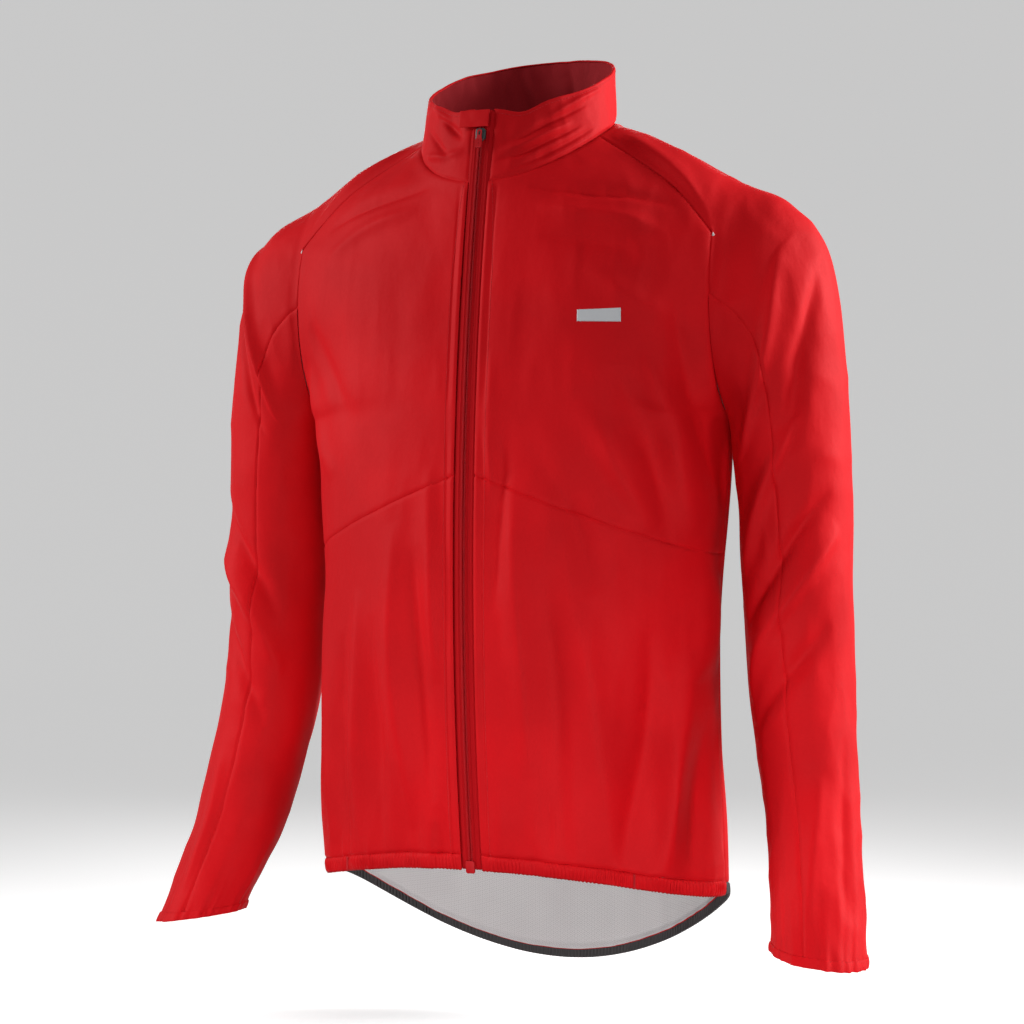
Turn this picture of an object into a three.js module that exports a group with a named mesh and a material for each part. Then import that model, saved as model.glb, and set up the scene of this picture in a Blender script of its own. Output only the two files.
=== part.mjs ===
// A light waterproof shell jacket with a full front zip, as it stands when worn by a still figure.
// Millimetres, +Z up. The wearer faces -Y, so +X is the wearer's left.
// The origin is on the body's axis, level with the neck seam at the shoulder.
import * as THREE from "three";

// ---- Driving sizes -------------------------------------------------------------------------
const CLOTH = 1.6;                 // thickness of a body or sleeve panel, seam allowance included
const SEAM_GAP = 0.7;              // clear gap between two panels at a seam
const RUN_GAP = 0.5;               // clearance of anything that moves or is layered

const CHEST_HALF_WIDTH = 198.6;    // centre line to side seam, at the armpit
const WAIST_HALF_WIDTH = 187;
const HEM_HALF_WIDTH = 194;
const SIDE_SEAM_Y = 22;            // the side seam lies this far behind the body's axis

const ARMPIT_Z = -250;
const WAIST_Z = -450;
const FRONT_HEM_Z = -642;          // front hem at the zip
const SIDE_HEM_Z = -667;           // hem at the side seam
const TAIL_Z = -748;               // lowest point of the drop tail
const TAIL_FULLNESS = 1.9;         // how square the drop tail's outline is

const FRONT_Y = -110;              // most forward point of the zip
const FRONT_BEND_Z = -380;         // height of that point
const ZIP_ARC_RADIUS = 1905;       // the closed zip lies on this arc, seen from the side
const BACK_UPPER_Y = 118;
const BACK_WAIST_Y = 98;
const BACK_TAIL_Y = 106;

const CHEVRON_Z = -299;            // chest seam at the zip
const CHEVRON_DROP = 68;           // how much lower it meets the side seam

const NECK_HALF_WIDTH = 88;
const NECK_BACK_Y = 95;
const NECK_FRONT_Z = -42;
const NECK_SIDE_Z = 10;
const NECK_BACK_Z = 25;
const RIM_HALF_WIDTH = 84;
const RIM_BACK_Y = 99;
const RIM_FRONT_Z = 22;
const RIM_SIDE_Z = 56;
const RIM_BACK_Z = 88;
const COLLAR_CLOTH = 1.4;
const COLLAR_SEAM_SHARE = 0.025;   // the collar starts this share of its height above the neck seam
const LINING_GAP = 0.85;           // air between the collar's two layers

const ARM_PLANE_CLEAR = 1.4;       // from the side seam to the arm plane
const ARM_PLANE = CHEST_HALF_WIDTH + ARM_PLANE_CLEAR;   // the sleeve turns against this upright plane
const PLANE_GAP = 0.4;             // clearance on each side of that plane
const SHOULDER_Z = -37;            // top of the armhole
const ARMHOLE_Y = 30;
const ARMHOLE_HALF_DEPTH = 72;
const RAGLAN_ANGLE = 60;           // degrees from the armhole's top to each raglan seam
const SHOULDER_RISE = 26;          // how full the shoulder is above a straight line

const CUFF_HEIGHT = 12;
const HEM_BAND_HEIGHT = 14;
const GRIPPER_HEIGHT = 11;

const TAPE_HALF_WIDTH = 9;
const TAPE_THICKNESS = 0.8;
const COIL_HALF_WIDTH = 2.6;
const COIL_HEIGHT = 1.6;
const SLIDER_LENGTH = 12;
const SLIDER_WALL = 1.4;
const SLIDER_TOP_Z = 4;
const PULL_LENGTH = 17;
const PULL_WIDTH = 6;
const PULL_THICKNESS = 1.4;
const PULL_DROP = 2;               // the pull's pin lies this far below the slider's top
const FLAP_HALF_WIDTH = 17;
const FLAP_THICKNESS = 1;
const FLAP_CURVE = 70;             // radius across the flap
const GARAGE_HEIGHT = 16;
const GARAGE_CLOTH = 1.2;
const GARAGE_LAP = 12;             // how far the garage reaches past the tape on the right
const GARAGE_SHORT = 3;            // how far it stops short of the tape's edge on the left
const STOP_LENGTH = 9;
const STOP_THICKNESS = 1.8;
const STOP_LAP = 1.6;              // how far the stop reaches past the coil on each side
const STOP_FOOT = 3;               // how far it reaches below the coil
const PRINT_THICKNESS = 0.6;       // the chest bar and the hem's tacks

const LOOP_HALF_WIDTH = 24;
const LOOP_DROP = 24;
const LOOP_TAPE = 5;
const LOOP_THICKNESS = 1.2;
const LOOP_STAND_OFF = 6.5;        // from the collar's lining to the front of the loop
const LOOP_HINGE_Z = 31;           // the loop's sewn ends, just above the neck seam

// The sleeve's stations from the armhole to the cuff. out and in are how far the outer and the
// inner edge lie from the arm plane, fall is how far each has come down, y and deep are the
// middle and the half depth from front to back.
const SLEEVE_STATIONS = [
  { out: 0.4, outFall: 0, in: 0.4, inFall: 0, y: ARMHOLE_Y, deep: ARMHOLE_HALF_DEPTH },
  { out: 47, outFall: 25, in: 2, inFall: 16, y: 30, deep: 67 },
  { out: 79, outFall: 66, in: 3.2, inFall: 36, y: 30, deep: 62 },
  { out: 93, outFall: 136, in: 4.4, inFall: 64, y: 30, deep: 57 },
  { out: 102, outFall: 225, in: 5.8, inFall: 106, y: 30, deep: 53.5 },
  { out: 103, outFall: 333, in: 11, inFall: 170, y: 28, deep: 50 },
  { out: 107, outFall: 453, in: 21, inFall: 268, y: 22, deep: 46 },
  { out: 122, outFall: 573, in: 40, inFall: 368, y: 0, deep: 42.5 },
  { out: 139, outFall: 675, in: 60, inFall: 450, y: -46, deep: 40 },
];

// ---- Finishes ------------------------------------------------------------------------------
function finish(colour, roughness, metalness = 0) {
  return new THREE.MeshStandardMaterial({ color: colour, roughness, metalness });
}
const RED_CLOTH = finish(0xc0121c, 0.55);
const LINING = finish(0xd4cfce, 0.8);
const RED_TAPE = finish(0xa80f18, 0.6);
const CHARCOAL = finish(0x232222, 0.75);
const DARK_METAL = finish(0x2c3534, 0.4, 0.6);
const SILVER = finish(0xb9bcc0, 0.45, 0.2);

// ---- Small maths ---------------------------------------------------------------------------
const { lerp, clamp, smoothstep, degToRad } = THREE.MathUtils;

function bezier(a, b, c, d, t) {
  const s = 1 - t;
  return s * s * s * a + 3 * s * s * t * b + 3 * s * t * t * c + t * t * t * d;
}

function bezierPoint(a, b, c, d, t) {
  return new THREE.Vector3(
    bezier(a.x, b.x, c.x, d.x, t),
    bezier(a.y, b.y, c.y, d.y, t),
    bezier(a.z, b.z, c.z, d.z, t),
  );
}

const QUARTER = 0.5523;            // handle length that makes a cubic a quarter of an ellipse

// ---- The body's outline --------------------------------------------------------------------
function zipY(z) {
  const rise = z - FRONT_BEND_Z;
  return FRONT_Y + ZIP_ARC_RADIUS - Math.sqrt(ZIP_ARC_RADIUS ** 2 - rise ** 2);
}

function halfWidth(z) {
  if (z > WAIST_Z) {
    return lerp(WAIST_HALF_WIDTH, CHEST_HALF_WIDTH, smoothstep(z, WAIST_Z, ARMPIT_Z));
  }
  return lerp(HEM_HALF_WIDTH, WAIST_HALF_WIDTH, smoothstep(z, TAIL_Z, WAIST_Z));
}

function backY(z) {
  if (z > WAIST_Z) {
    return lerp(BACK_WAIST_Y, BACK_UPPER_Y, smoothstep(z, WAIST_Z, ARMPIT_Z));
  }
  return lerp(BACK_TAIL_Y, BACK_WAIST_Y, smoothstep(z, TAIL_Z, WAIST_Z));
}

// A height that is known in front, at the side and behind, for a cosine that runs 1, 0, -1.
function ringHeight(front, side, back, cosine) {
  const even = (front + back) / 2 - side;
  return side + (front - back) / 2 * cosine + even * cosine * cosine;
}

function ringPoint(turn, width, frontY, rearY, heights) {
  const cosine = Math.cos(turn);
  return new THREE.Vector3(
    width * Math.sin(turn),
    (frontY + rearY) / 2 + (frontY - rearY) / 2 * cosine,
    ringHeight(heights[0], heights[1], heights[2], cosine),
  );
}

function neckSeam(turn) {
  const heights = [NECK_FRONT_Z, NECK_SIDE_Z, NECK_BACK_Z];
  return ringPoint(turn, NECK_HALF_WIDTH, zipY(NECK_FRONT_Z), NECK_BACK_Y, heights);
}

function collarRim(turn) {
  const heights = [RIM_FRONT_Z, RIM_SIDE_Z, RIM_BACK_Z];
  return ringPoint(turn, RIM_HALF_WIDTH, zipY(RIM_FRONT_Z), RIM_BACK_Y, heights);
}

const RAGLAN_NECK_FRONT = degToRad(77);
const RAGLAN_NECK_BACK = degToRad(112);

// Points on the armhole's oval. The angle is 0 at the top and positive to the front.
function armhole(angle) {
  const middle = (SHOULDER_Z + ARMPIT_Z) / 2;
  const halfHeight = (SHOULDER_Z - ARMPIT_Z) / 2;
  return new THREE.Vector3(
    ARM_PLANE - PLANE_GAP,
    ARMHOLE_Y - ARMHOLE_HALF_DEPTH * Math.sin(angle),
    middle + halfHeight * Math.cos(angle),
  );
}

const ARMHOLE_SHARE = 0.62;        // part of an upper panel's edge that lies on the armhole

// The outer edge of the upper front (facing 1) or upper back (facing -1), armpit to neck.
function raglanEdge(facing, s) {
  const corner = degToRad(RAGLAN_ANGLE);
  if (s < ARMHOLE_SHARE) {
    return armhole(facing * lerp(Math.PI, corner, s / ARMHOLE_SHARE));
  }
  const low = armhole(facing * corner);
  const high = neckSeam(facing > 0 ? RAGLAN_NECK_FRONT : RAGLAN_NECK_BACK);
  const bulge = low.clone().lerp(high, 0.45);
  bulge.add(new THREE.Vector3(12, -2 * facing, 6));
  const t = (s - ARMHOLE_SHARE) / (1 - ARMHOLE_SHARE);
  return bezierPoint(low, bulge, bulge, high, t);
}

// Where the cloth is heading as it reaches that edge.
function raglanHeading(facing, s) {
  const side = new THREE.Vector3(0, 1, 0);
  const shoulder = new THREE.Vector3(0.85, 0.5, 0.05);
  const neck = new THREE.Vector3(0.3, 0.85, 0.45);
  const heading = side.lerp(shoulder, smoothstep(s, 0, 0.4));
  heading.lerp(neck, smoothstep(s, 0.6, 1));
  heading.y *= facing;
  return heading.normalize();
}

// ---- Body surface: half of the front, or half of the back -----------------------------------
// t runs from the centre line (0) to the side seam or raglan seam (1). Height v runs from the
// hem (0) to the armpit (1) and on to the neck seam (2).
function hemHeight(facing, t) {
  const across = bezier(0, QUARTER, 1, 1, t);
  const depth = bezier(1, 1, QUARTER, 0, t);
  if (facing > 0) {
    return lerp(FRONT_HEM_Z, SIDE_HEM_Z, across * across);
  }
  return lerp(SIDE_HEM_Z, TAIL_Z, depth ** TAIL_FULLNESS);
}

function centreY(facing, z) {
  return facing > 0 ? zipY(z) : backY(z);
}

function lowerBody(facing, t, v, inset) {
  const z = lerp(hemHeight(facing, t), ARMPIT_Z, v);
  const y = centreY(facing, z);
  const centre = new THREE.Vector3(inset, y, z);
  const side = new THREE.Vector3(halfWidth(z), SIDE_SEAM_Y, z);
  const first = new THREE.Vector3(lerp(inset, side.x, QUARTER), y, z);
  const second = new THREE.Vector3(side.x, lerp(SIDE_SEAM_Y, y, QUARTER), z);
  return bezierPoint(centre, first, second, side, t);
}

function upperBody(facing, t, s, inset) {
  const neck = facing > 0 ? neckSeam(0) : neckSeam(Math.PI);
  const z = lerp(ARMPIT_Z, neck.z, s);
  const rearY = lerp(BACK_UPPER_Y, NECK_BACK_Y, smoothstep(s, 0.25, 1.1) / smoothstep(1, 0.25, 1.1));
  const centre = new THREE.Vector3(inset, facing > 0 ? zipY(z) : rearY, z);
  const edge = raglanEdge(facing, s);
  edge.x = lerp(CHEST_HALF_WIDTH, edge.x, smoothstep(s, 0, 0.12));
  edge.y = lerp(SIDE_SEAM_Y, edge.y, smoothstep(s, 0, 0.12));
  const first = centre.clone();
  first.x = lerp(inset, edge.x, QUARTER);
  const reach = lerp(Math.abs(edge.y - centre.y) * QUARTER, centre.distanceTo(edge) * 0.3,
    smoothstep(s, 0, 0.4));
  const second = edge.clone().addScaledVector(raglanHeading(facing, s), -reach);
  return bezierPoint(centre, first, second, edge, t);
}

// The rows bend to the neck seam's curve as they come up to it.
function neckedBody(facing, t, s, inset) {
  const point = upperBody(facing, t, s, inset);
  const pull = smoothstep(s, 0.55, 1);
  if (pull === 0) {
    return point;
  }
  const start = Math.asin(inset / NECK_HALF_WIDTH);
  const turn = facing > 0
    ? lerp(start, RAGLAN_NECK_FRONT, t)
    : lerp(Math.PI - start, RAGLAN_NECK_BACK, t);
  return point.add(neckSeam(turn).sub(upperBody(facing, t, 1, inset)).multiplyScalar(pull));
}

function bodyPoint(facing, t, v, inset = 0) {
  if (v <= 1) {
    return lowerBody(facing, t, v, inset);
  }
  return neckedBody(facing, t, v - 1, inset);
}

// The share of the hem-to-armpit height at which a given height lies.
function heightShare(facing, t, z) {
  const hem = hemHeight(facing, t);
  return (z - hem) / (ARMPIT_Z - hem);
}

// ---- Solids from surfaces ------------------------------------------------------------------
function signedVolume(points, faces) {
  let volume = 0;
  for (const [a, b, c] of faces) {
    volume += points[a].dot(points[b].clone().cross(points[c])) / 6;
  }
  return volume;
}

function solid(name, points, faces, material) {
  const outward = signedVolume(points, faces) > 0;
  const geometry = new THREE.BufferGeometry();
  const flat = points.flatMap((point) => [point.x, point.y, point.z]);
  geometry.setAttribute("position", new THREE.Float32BufferAttribute(flat, 3));
  geometry.setIndex(faces.flatMap(([a, b, c]) => (outward ? [a, b, c] : [a, c, b])));
  geometry.computeVertexNormals();
  const mesh = new THREE.Mesh(geometry, material);
  mesh.name = name;
  return mesh;
}

function quad(faces, a, b, c, d) {
  faces.push([a, b, c], [a, c, d]);
}

// The body's cloth stays inside the arm plane on both sides, and the sleeves' cloth outside it.
function keepInside(point) {
  point.x = clamp(point.x, -ARM_PLANE + PLANE_GAP, ARM_PLANE - PLANE_GAP);
  return point;
}

function keepOutside(point) {
  point.x = Math.sign(point.x) * Math.max(Math.abs(point.x), ARM_PLANE + PLANE_GAP);
  return point;
}

// A layer of cloth between the surface at(u, w) and a second one, depth behind it. u and w run
// from 0 to 1, with the cloth's outer face towards the cross product of u and w. A wrapped layer
// closes on itself along u. A sign of -1 makes the wearer's right-hand copy.
function cloth(name, at, columns, rows, depth, material, options = {}) {
  const { wrapped = false, lift = 0, keep = keepInside, sign = 1 } = options;
  const step = 1e-3;
  const outer = [];
  const inner = [];
  const acrossCount = wrapped ? columns : columns + 1;
  for (let row = 0; row <= rows; row += 1) {
    for (let column = 0; column < acrossCount; column += 1) {
      const u = column / columns;
      const w = row / rows;
      const along = at(wrapped ? u + step : Math.min(1, u + step), w);
      along.sub(at(wrapped ? u - step : Math.max(0, u - step), w));
      const up = at(u, Math.min(1, w + step)).sub(at(u, Math.max(0, w - step)));
      const normal = along.cross(up).normalize();
      const point = at(u, w);
      outer.push(keep(point.clone().addScaledVector(normal, lift)));
      inner.push(keep(point.clone().addScaledVector(normal, lift - depth)));
    }
  }
  const points = outer.concat(inner);
  points.forEach((point) => mirrored(point, sign));
  const faces = [];
  const half = outer.length;
  const id = (row, column) => row * acrossCount + (column % acrossCount);
  for (let row = 0; row < rows; row += 1) {
    for (let column = 0; column < columns; column += 1) {
      const corners = [id(row, column), id(row, column + 1), id(row + 1, column + 1), id(row + 1, column)];
      quad(faces, ...corners);
      quad(faces, ...corners.map((corner) => corner + half).reverse());
    }
  }
  for (let column = 0; column < columns; column += 1) {
    quad(faces, id(0, column + 1), id(0, column), id(0, column) + half, id(0, column + 1) + half);
    quad(faces, id(rows, column), id(rows, column + 1), id(rows, column + 1) + half, id(rows, column) + half);
  }
  if (!wrapped) {
    for (let row = 0; row < rows; row += 1) {
      quad(faces, id(row, 0), id(row + 1, 0), id(row + 1, 0) + half, id(row, 0) + half);
      quad(faces, id(row + 1, columns), id(row, columns), id(row, columns) + half, id(row + 1, columns) + half);
    }
  }
  return solid(name, points, faces, material);
}

// A closed outline in X and depth, swept down the zip. Depth is measured forward of the zip's arc.
function zipSweep(name, outline, topZ, bottomZ, steps, material) {
  const points = [];
  const faces = [];
  const count = outline.length;
  const flat = outline.map(([x, forward]) => new THREE.Vector2(x, forward));
  if (THREE.ShapeUtils.isClockWise(flat)) {
    flat.reverse();
  }
  for (let row = 0; row <= steps; row += 1) {
    const z = lerp(topZ, bottomZ, row / steps);
    const lean = Math.asin((z - FRONT_BEND_Z) / ZIP_ARC_RADIUS);
    for (const { x, y: forward } of flat) {
      const y = zipY(z) - forward * Math.cos(lean);
      points.push(new THREE.Vector3(x, y, z + forward * Math.sin(lean)));
    }
  }
  for (let row = 0; row < steps; row += 1) {
    for (let column = 0; column < count; column += 1) {
      const next = (column + 1) % count;
      const a = row * count;
      quad(faces, a + column, a + next, a + count + next, a + count + column);
    }
  }
  const last = steps * count;
  for (const [a, b, c] of THREE.ShapeUtils.triangulateShape(flat, [])) {
    faces.push([a, c, b], [last + a, last + b, last + c]);
  }
  return solid(name, points, faces, material);
}

const SIDES = [
  { label: "left", sign: 1 },
  { label: "right", sign: -1 },
];

function mirrored(point, sign) {
  point.x *= sign;
  return point;
}

// ---- Body panels ---------------------------------------------------------------------------
const PANEL_INSET = TAPE_HALF_WIDTH + SEAM_GAP;
const SIDE_END = 0.998;            // a panel stops this share of the way to its side seam
const NECK_END = 1.996;            // and this far up towards the neck seam

function chevronShare(t, shift) {
  const across = bezier(0, QUARTER, 1, 1, t);
  return heightShare(1, t, CHEVRON_Z - CHEVRON_DROP * across + shift);
}

// A band of one width along the hem: where the hem slopes, it takes more of the height.
function bandShare(facing, t, height) {
  const step = 1e-3;
  const from = Math.max(0, t - step);
  const to = Math.min(1, t + step);
  const [a, b] = [from, to].map((at) => lowerBody(facing, at, 0, 0));
  const slope = (b.z - a.z) / Math.hypot(b.x - a.x, b.y - a.y);
  return heightShare(facing, t, hemHeight(facing, t) + height * Math.hypot(1, slope));
}

function frontLower({ label, sign }) {
  const at = (u, w) => {
    const t = u * SIDE_END;
    const low = bandShare(1, t, HEM_BAND_HEIGHT + SEAM_GAP);
    const v = lerp(low, chevronShare(t, -SEAM_GAP / 2), w);
    return bodyPoint(1, t, v, PANEL_INSET);
  };
  return cloth(`front_lower_${label}`, at, 8, 8, CLOTH, RED_CLOTH, { sign });
}

function frontUpper({ label, sign }) {
  const at = (u, w) => {
    const t = u * SIDE_END;
    const v = lerp(chevronShare(t, SEAM_GAP / 2), NECK_END, w);
    return bodyPoint(1, t, v, PANEL_INSET);
  };
  return cloth(`front_upper_${label}`, at, 8, 14, CLOTH, RED_CLOTH, { sign });
}

function hemBand({ label, sign }) {
  const at = (u, w) => {
    const t = u * SIDE_END;
    return bodyPoint(1, t, bandShare(1, t, HEM_BAND_HEIGHT * w), PANEL_INSET);
  };
  return cloth(`hem_band_${label}`, at, 8, 1, CLOTH, RED_CLOTH, { sign });
}

const BACK_COLUMNS = 20;           // the same for the back and its gripper, so their edges run level

// The back runs from one side seam to the other, so u crosses the centre line halfway.
function backAt(u, v) {
  const sign = u < 0.5 ? 1 : -1;
  return mirrored(bodyPoint(-1, Math.abs(1 - 2 * u) * SIDE_END, v), sign);
}

function backPanel() {
  const at = (u, w) => {
    const t = Math.abs(1 - 2 * u) * SIDE_END;
    return backAt(u, lerp(bandShare(-1, t, GRIPPER_HEIGHT + SEAM_GAP), NECK_END, w));
  };
  return cloth("back_panel", at, BACK_COLUMNS, 20, CLOTH, RED_CLOTH);
}

function tailGripper() {
  const at = (u, w) => {
    const t = Math.abs(1 - 2 * u) * SIDE_END;
    return backAt(u, bandShare(-1, t, GRIPPER_HEIGHT * w));
  };
  return cloth("tail_gripper", at, BACK_COLUMNS, 1, CLOTH, CHARCOAL);
}

// The raglan's top lies over the shoulder, between the back and front raglan seams. u runs from
// the back seam to the front one and w from the neck to the armhole.
function shoulderArch(u, w) {
  const s = lerp(0.996, ARMHOLE_SHARE, w);
  const front = raglanEdge(1, s);
  const back = raglanEdge(-1, s);
  const neckTop = neckSeam((RAGLAN_NECK_FRONT + RAGLAN_NECK_BACK) / 2);
  const top = new THREE.Vector3(
    lerp(neckTop.x, ARM_PLANE - PLANE_GAP, w),
    lerp(neckTop.y, ARMHOLE_Y, w),
    lerp(neckTop.z, SHOULDER_Z, w) + SHOULDER_RISE * w * (1 - w),
  );
  const middle = top.multiplyScalar(2).addScaledVector(front, -0.5).addScaledVector(back, -0.5);
  const point = back.multiplyScalar((1 - u) ** 2);
  return point.addScaledVector(middle, 2 * u * (1 - u)).addScaledVector(front, u * u);
}

function raglanCap({ label, sign }) {
  const edge = 0.012;
  const at = (u, w) => {
    const across = lerp(edge, 1 - edge, u);
    const point = shoulderArch(across, w);
    const seam = neckSeam(lerp(RAGLAN_NECK_BACK, RAGLAN_NECK_FRONT, across));
    seam.z -= SEAM_GAP;
    point.addScaledVector(seam.sub(shoulderArch(across, 0)), (1 - w) ** 3);
    return keepInside(point);
  };
  return cloth(`raglan_cap_${label}`, at, 8, 6, CLOTH, RED_CLOTH, { sign });
}

// ---- Collar --------------------------------------------------------------------------------
function collarLayer(name, start, columns, lift, material) {
  const at = (u, w) => {
    const turn = lerp(start, 2 * Math.PI - start, u);
    const low = neckSeam(turn);
    return low.lerp(collarRim(turn), lerp(COLLAR_SEAM_SHARE, 1, w));
  };
  return cloth(name, at, columns, 3, COLLAR_CLOTH, material, { lift });
}

function collarShell() {
  const start = Math.asin(PANEL_INSET / RIM_HALF_WIDTH);
  return collarLayer("collar_shell", start, 26, 0, RED_CLOTH);
}

function collarLining() {
  const start = Math.asin((FLAP_HALF_WIDTH + SEAM_GAP) / (RIM_HALF_WIDTH - COLLAR_CLOTH));
  return collarLayer("collar_lining", start, 26, -COLLAR_CLOTH - LINING_GAP, RED_TAPE);
}

// ---- Front zip -----------------------------------------------------------------------------
const ZIP_TOP_Z = RIM_FRONT_Z - 1;
const ZIP_BOTTOM_Z = FRONT_HEM_Z + 1;

function zipHalf({ label, sign }) {
  const meet = 0.2;
  const outline = [
    [meet, 0],
    [TAPE_HALF_WIDTH, 0],
    [TAPE_HALF_WIDTH, -TAPE_THICKNESS],
    [meet, -TAPE_THICKNESS],
  ];
  outline.splice(0, 1, [meet, COIL_HEIGHT], [COIL_HALF_WIDTH, COIL_HEIGHT], [COIL_HALF_WIDTH, 0]);
  const side = outline.map(([x, forward]) => [x * sign, forward]);
  return zipSweep(`zip_half_${label}`, side, ZIP_TOP_Z, ZIP_BOTTOM_Z, 30, RED_TAPE);
}

// The flap lies behind the zip and its panels' edges, from the hem to the top of the collar.
// It is curved across as the collar is, the tightest thing that it lies behind.
function windFlap() {
  const face = -Math.max(CLOTH, COLLAR_CLOTH) - RUN_GAP;
  const behind = (x) => face - x * x / (2 * FLAP_CURVE);
  const across = [-1, -0.5, 0, 0.5, 1].map((share) => share * FLAP_HALF_WIDTH);
  const front = across.map((x) => [x, behind(x)]);
  const rear = across.map((x) => [x, behind(x) - FLAP_THICKNESS]).reverse();
  return zipSweep("wind_flap", front.concat(rear), ZIP_TOP_Z, ZIP_BOTTOM_Z, 24, RED_TAPE);
}

// A fold of the flap over the top of the zip, where the slider parks.
function zipGarage() {
  const face = COIL_HEIGHT + RUN_GAP;
  const right = -PANEL_INSET - GARAGE_LAP;
  const left = PANEL_INSET - GARAGE_SHORT;
  const outline = [
    [right, face],
    [left, face],
    [left, face + GARAGE_CLOTH],
    [right, face + GARAGE_CLOTH],
  ];
  const low = SLIDER_TOP_Z + 2 * RUN_GAP;
  return zipSweep("zip_garage", outline, low + GARAGE_HEIGHT, low, 2, RED_CLOTH);
}

function zipBottomBox() {
  const face = COIL_HEIGHT + RUN_GAP;
  const wide = COIL_HALF_WIDTH + STOP_LAP;
  const outline = [
    [-wide, face],
    [wide, face],
    [wide, face + STOP_THICKNESS],
    [-wide, face + STOP_THICKNESS],
  ];
  const foot = ZIP_BOTTOM_Z - STOP_FOOT;
  return zipSweep("zip_bottom_box", outline, ZIP_BOTTOM_Z + STOP_LENGTH, foot, 2, RED_TAPE);
}

function zipSlider() {
  const inside = COIL_HALF_WIDTH + RUN_GAP;
  const outside = inside + SLIDER_WALL;
  const roof = COIL_HEIGHT + RUN_GAP;
  const foot = RUN_GAP;
  const outline = [
    [-outside, foot],
    [-inside, foot],
    [-inside, roof],
    [inside, roof],
    [inside, foot],
    [outside, foot],
    [outside, roof + SLIDER_WALL],
    [-outside, roof + SLIDER_WALL],
  ];
  return zipSweep("zip_slider", outline, SLIDER_TOP_Z, SLIDER_TOP_Z - SLIDER_LENGTH, 2, DARK_METAL);
}

// The pull hangs in front of the slider, from a pin across the slider's top.
function pullTab() {
  const face = COIL_HEIGHT + RUN_GAP + SLIDER_WALL + RUN_GAP;
  const half = PULL_WIDTH / 2;
  const outline = [
    [-half, face],
    [half, face],
    [half, face + PULL_THICKNESS],
    [-half, face + PULL_THICKNESS],
  ];
  const top = SLIDER_TOP_Z - PULL_DROP;
  return zipSweep("pull_tab", outline, top, top - PULL_LENGTH, 3, DARK_METAL);
}

// ---- Inside the back neck ------------------------------------------------------------------
function hangerLoop() {
  const turn = Math.PI - Math.asin(LOOP_HALF_WIDTH / NECK_HALF_WIDTH);
  const low = neckSeam(turn);
  const high = collarRim(turn);
  const share = (LOOP_HINGE_Z - low.z) / (high.z - low.z);
  const wall = lerp(low.y, high.y, share) - 2 * COLLAR_CLOTH - LINING_GAP;
  const face = wall - LOOP_STAND_OFF;
  const steps = 14;
  const points = [];
  const faces = [];
  for (let step = 0; step <= steps; step += 1) {
    const angle = Math.PI * (1 - step / steps);
    const end = Math.abs(Math.cos(angle)) ** 24;
    const outer = [LOOP_HALF_WIDTH * Math.cos(angle), LOOP_HINGE_Z - LOOP_DROP * Math.sin(angle)];
    const shrink = (LOOP_HALF_WIDTH - LOOP_TAPE) / LOOP_HALF_WIDTH;
    const inner = [outer[0] * shrink, LOOP_HINGE_Z - (LOOP_DROP - LOOP_TAPE) * Math.sin(angle)];
    const rear = lerp(face + LOOP_THICKNESS, wall - RUN_GAP, end);
    points.push(new THREE.Vector3(outer[0], face, outer[1]));
    points.push(new THREE.Vector3(outer[0], rear, outer[1]));
    points.push(new THREE.Vector3(inner[0], rear, inner[1]));
    points.push(new THREE.Vector3(inner[0], face, inner[1]));
  }
  for (let step = 0; step < steps; step += 1) {
    for (let side = 0; side < 4; side += 1) {
      const a = step * 4;
      quad(faces, a + side, a + 4 + side, a + 4 + ((side + 1) % 4), a + ((side + 1) % 4));
    }
  }
  quad(faces, 0, 1, 2, 3);
  const last = steps * 4;
  quad(faces, last + 3, last + 2, last + 1, last);
  return solid("hanger_loop", points, faces, RED_TAPE);
}

// ---- Small sewn-on pieces ------------------------------------------------------------------
function patch(name, t, v, tSpan, vSpan, sign, depth, material) {
  const at = (u, w) => bodyPoint(1, t + tSpan * (u - 0.5), v + vSpan * (w - 0.5), PANEL_INSET);
  return cloth(name, at, 4, 2, depth, material, { lift: depth + RUN_GAP, sign });
}

function chestReflector() {
  return patch("chest_reflector", 0.45, 1.42, 0.2, 0.04, 1, PRINT_THICKNESS, SILVER);
}

function barTack({ label, sign }) {
  const t = 0.5;
  const v = bandShare(1, t, HEM_BAND_HEIGHT / 2);
  return patch(`hem_bar_tack_${label}`, t, v, 0.008, 0.026, sign, PRINT_THICKNESS, RED_TAPE);
}

// ---- Sleeves -------------------------------------------------------------------------------
// Catmull-Rom through the stations, so each value of a station flows down the sleeve.
function station(key, w) {
  const last = SLEEVE_STATIONS.length - 1;
  const place = clamp(w, 0, 1) * last;
  const index = Math.min(last - 1, Math.floor(place));
  const f = place - index;
  const value = (k) => SLEEVE_STATIONS[clamp(k, 0, last)][key];
  const [a, b, c, d] = [value(index - 1), value(index), value(index + 1), value(index + 2)];
  const slope = (2 * b + (c - a) * f + (2 * a - 5 * b + 4 * c - d) * f * f);
  return 0.5 * (slope + (3 * b - a - 3 * c + d) * f * f * f);
}

// turn is 0 on the outer edge of the sleeve and half a circle on the inner edge.
function sleevePoint(turn, w) {
  const outX = ARM_PLANE + station("out", w);
  const inX = ARM_PLANE + station("in", w);
  const outZ = SHOULDER_Z - station("outFall", w);
  const inZ = ARMPIT_Z - station("inFall", w);
  const cosine = Math.cos(turn);
  return new THREE.Vector3(
    Math.max((outX + inX) / 2 + (outX - inX) / 2 * cosine, ARM_PLANE + PLANE_GAP),
    station("y", w) + station("deep", w) * Math.sin(turn),
    (outZ + inZ) / 2 + (outZ - inZ) / 2 * cosine,
  );
}

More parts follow.
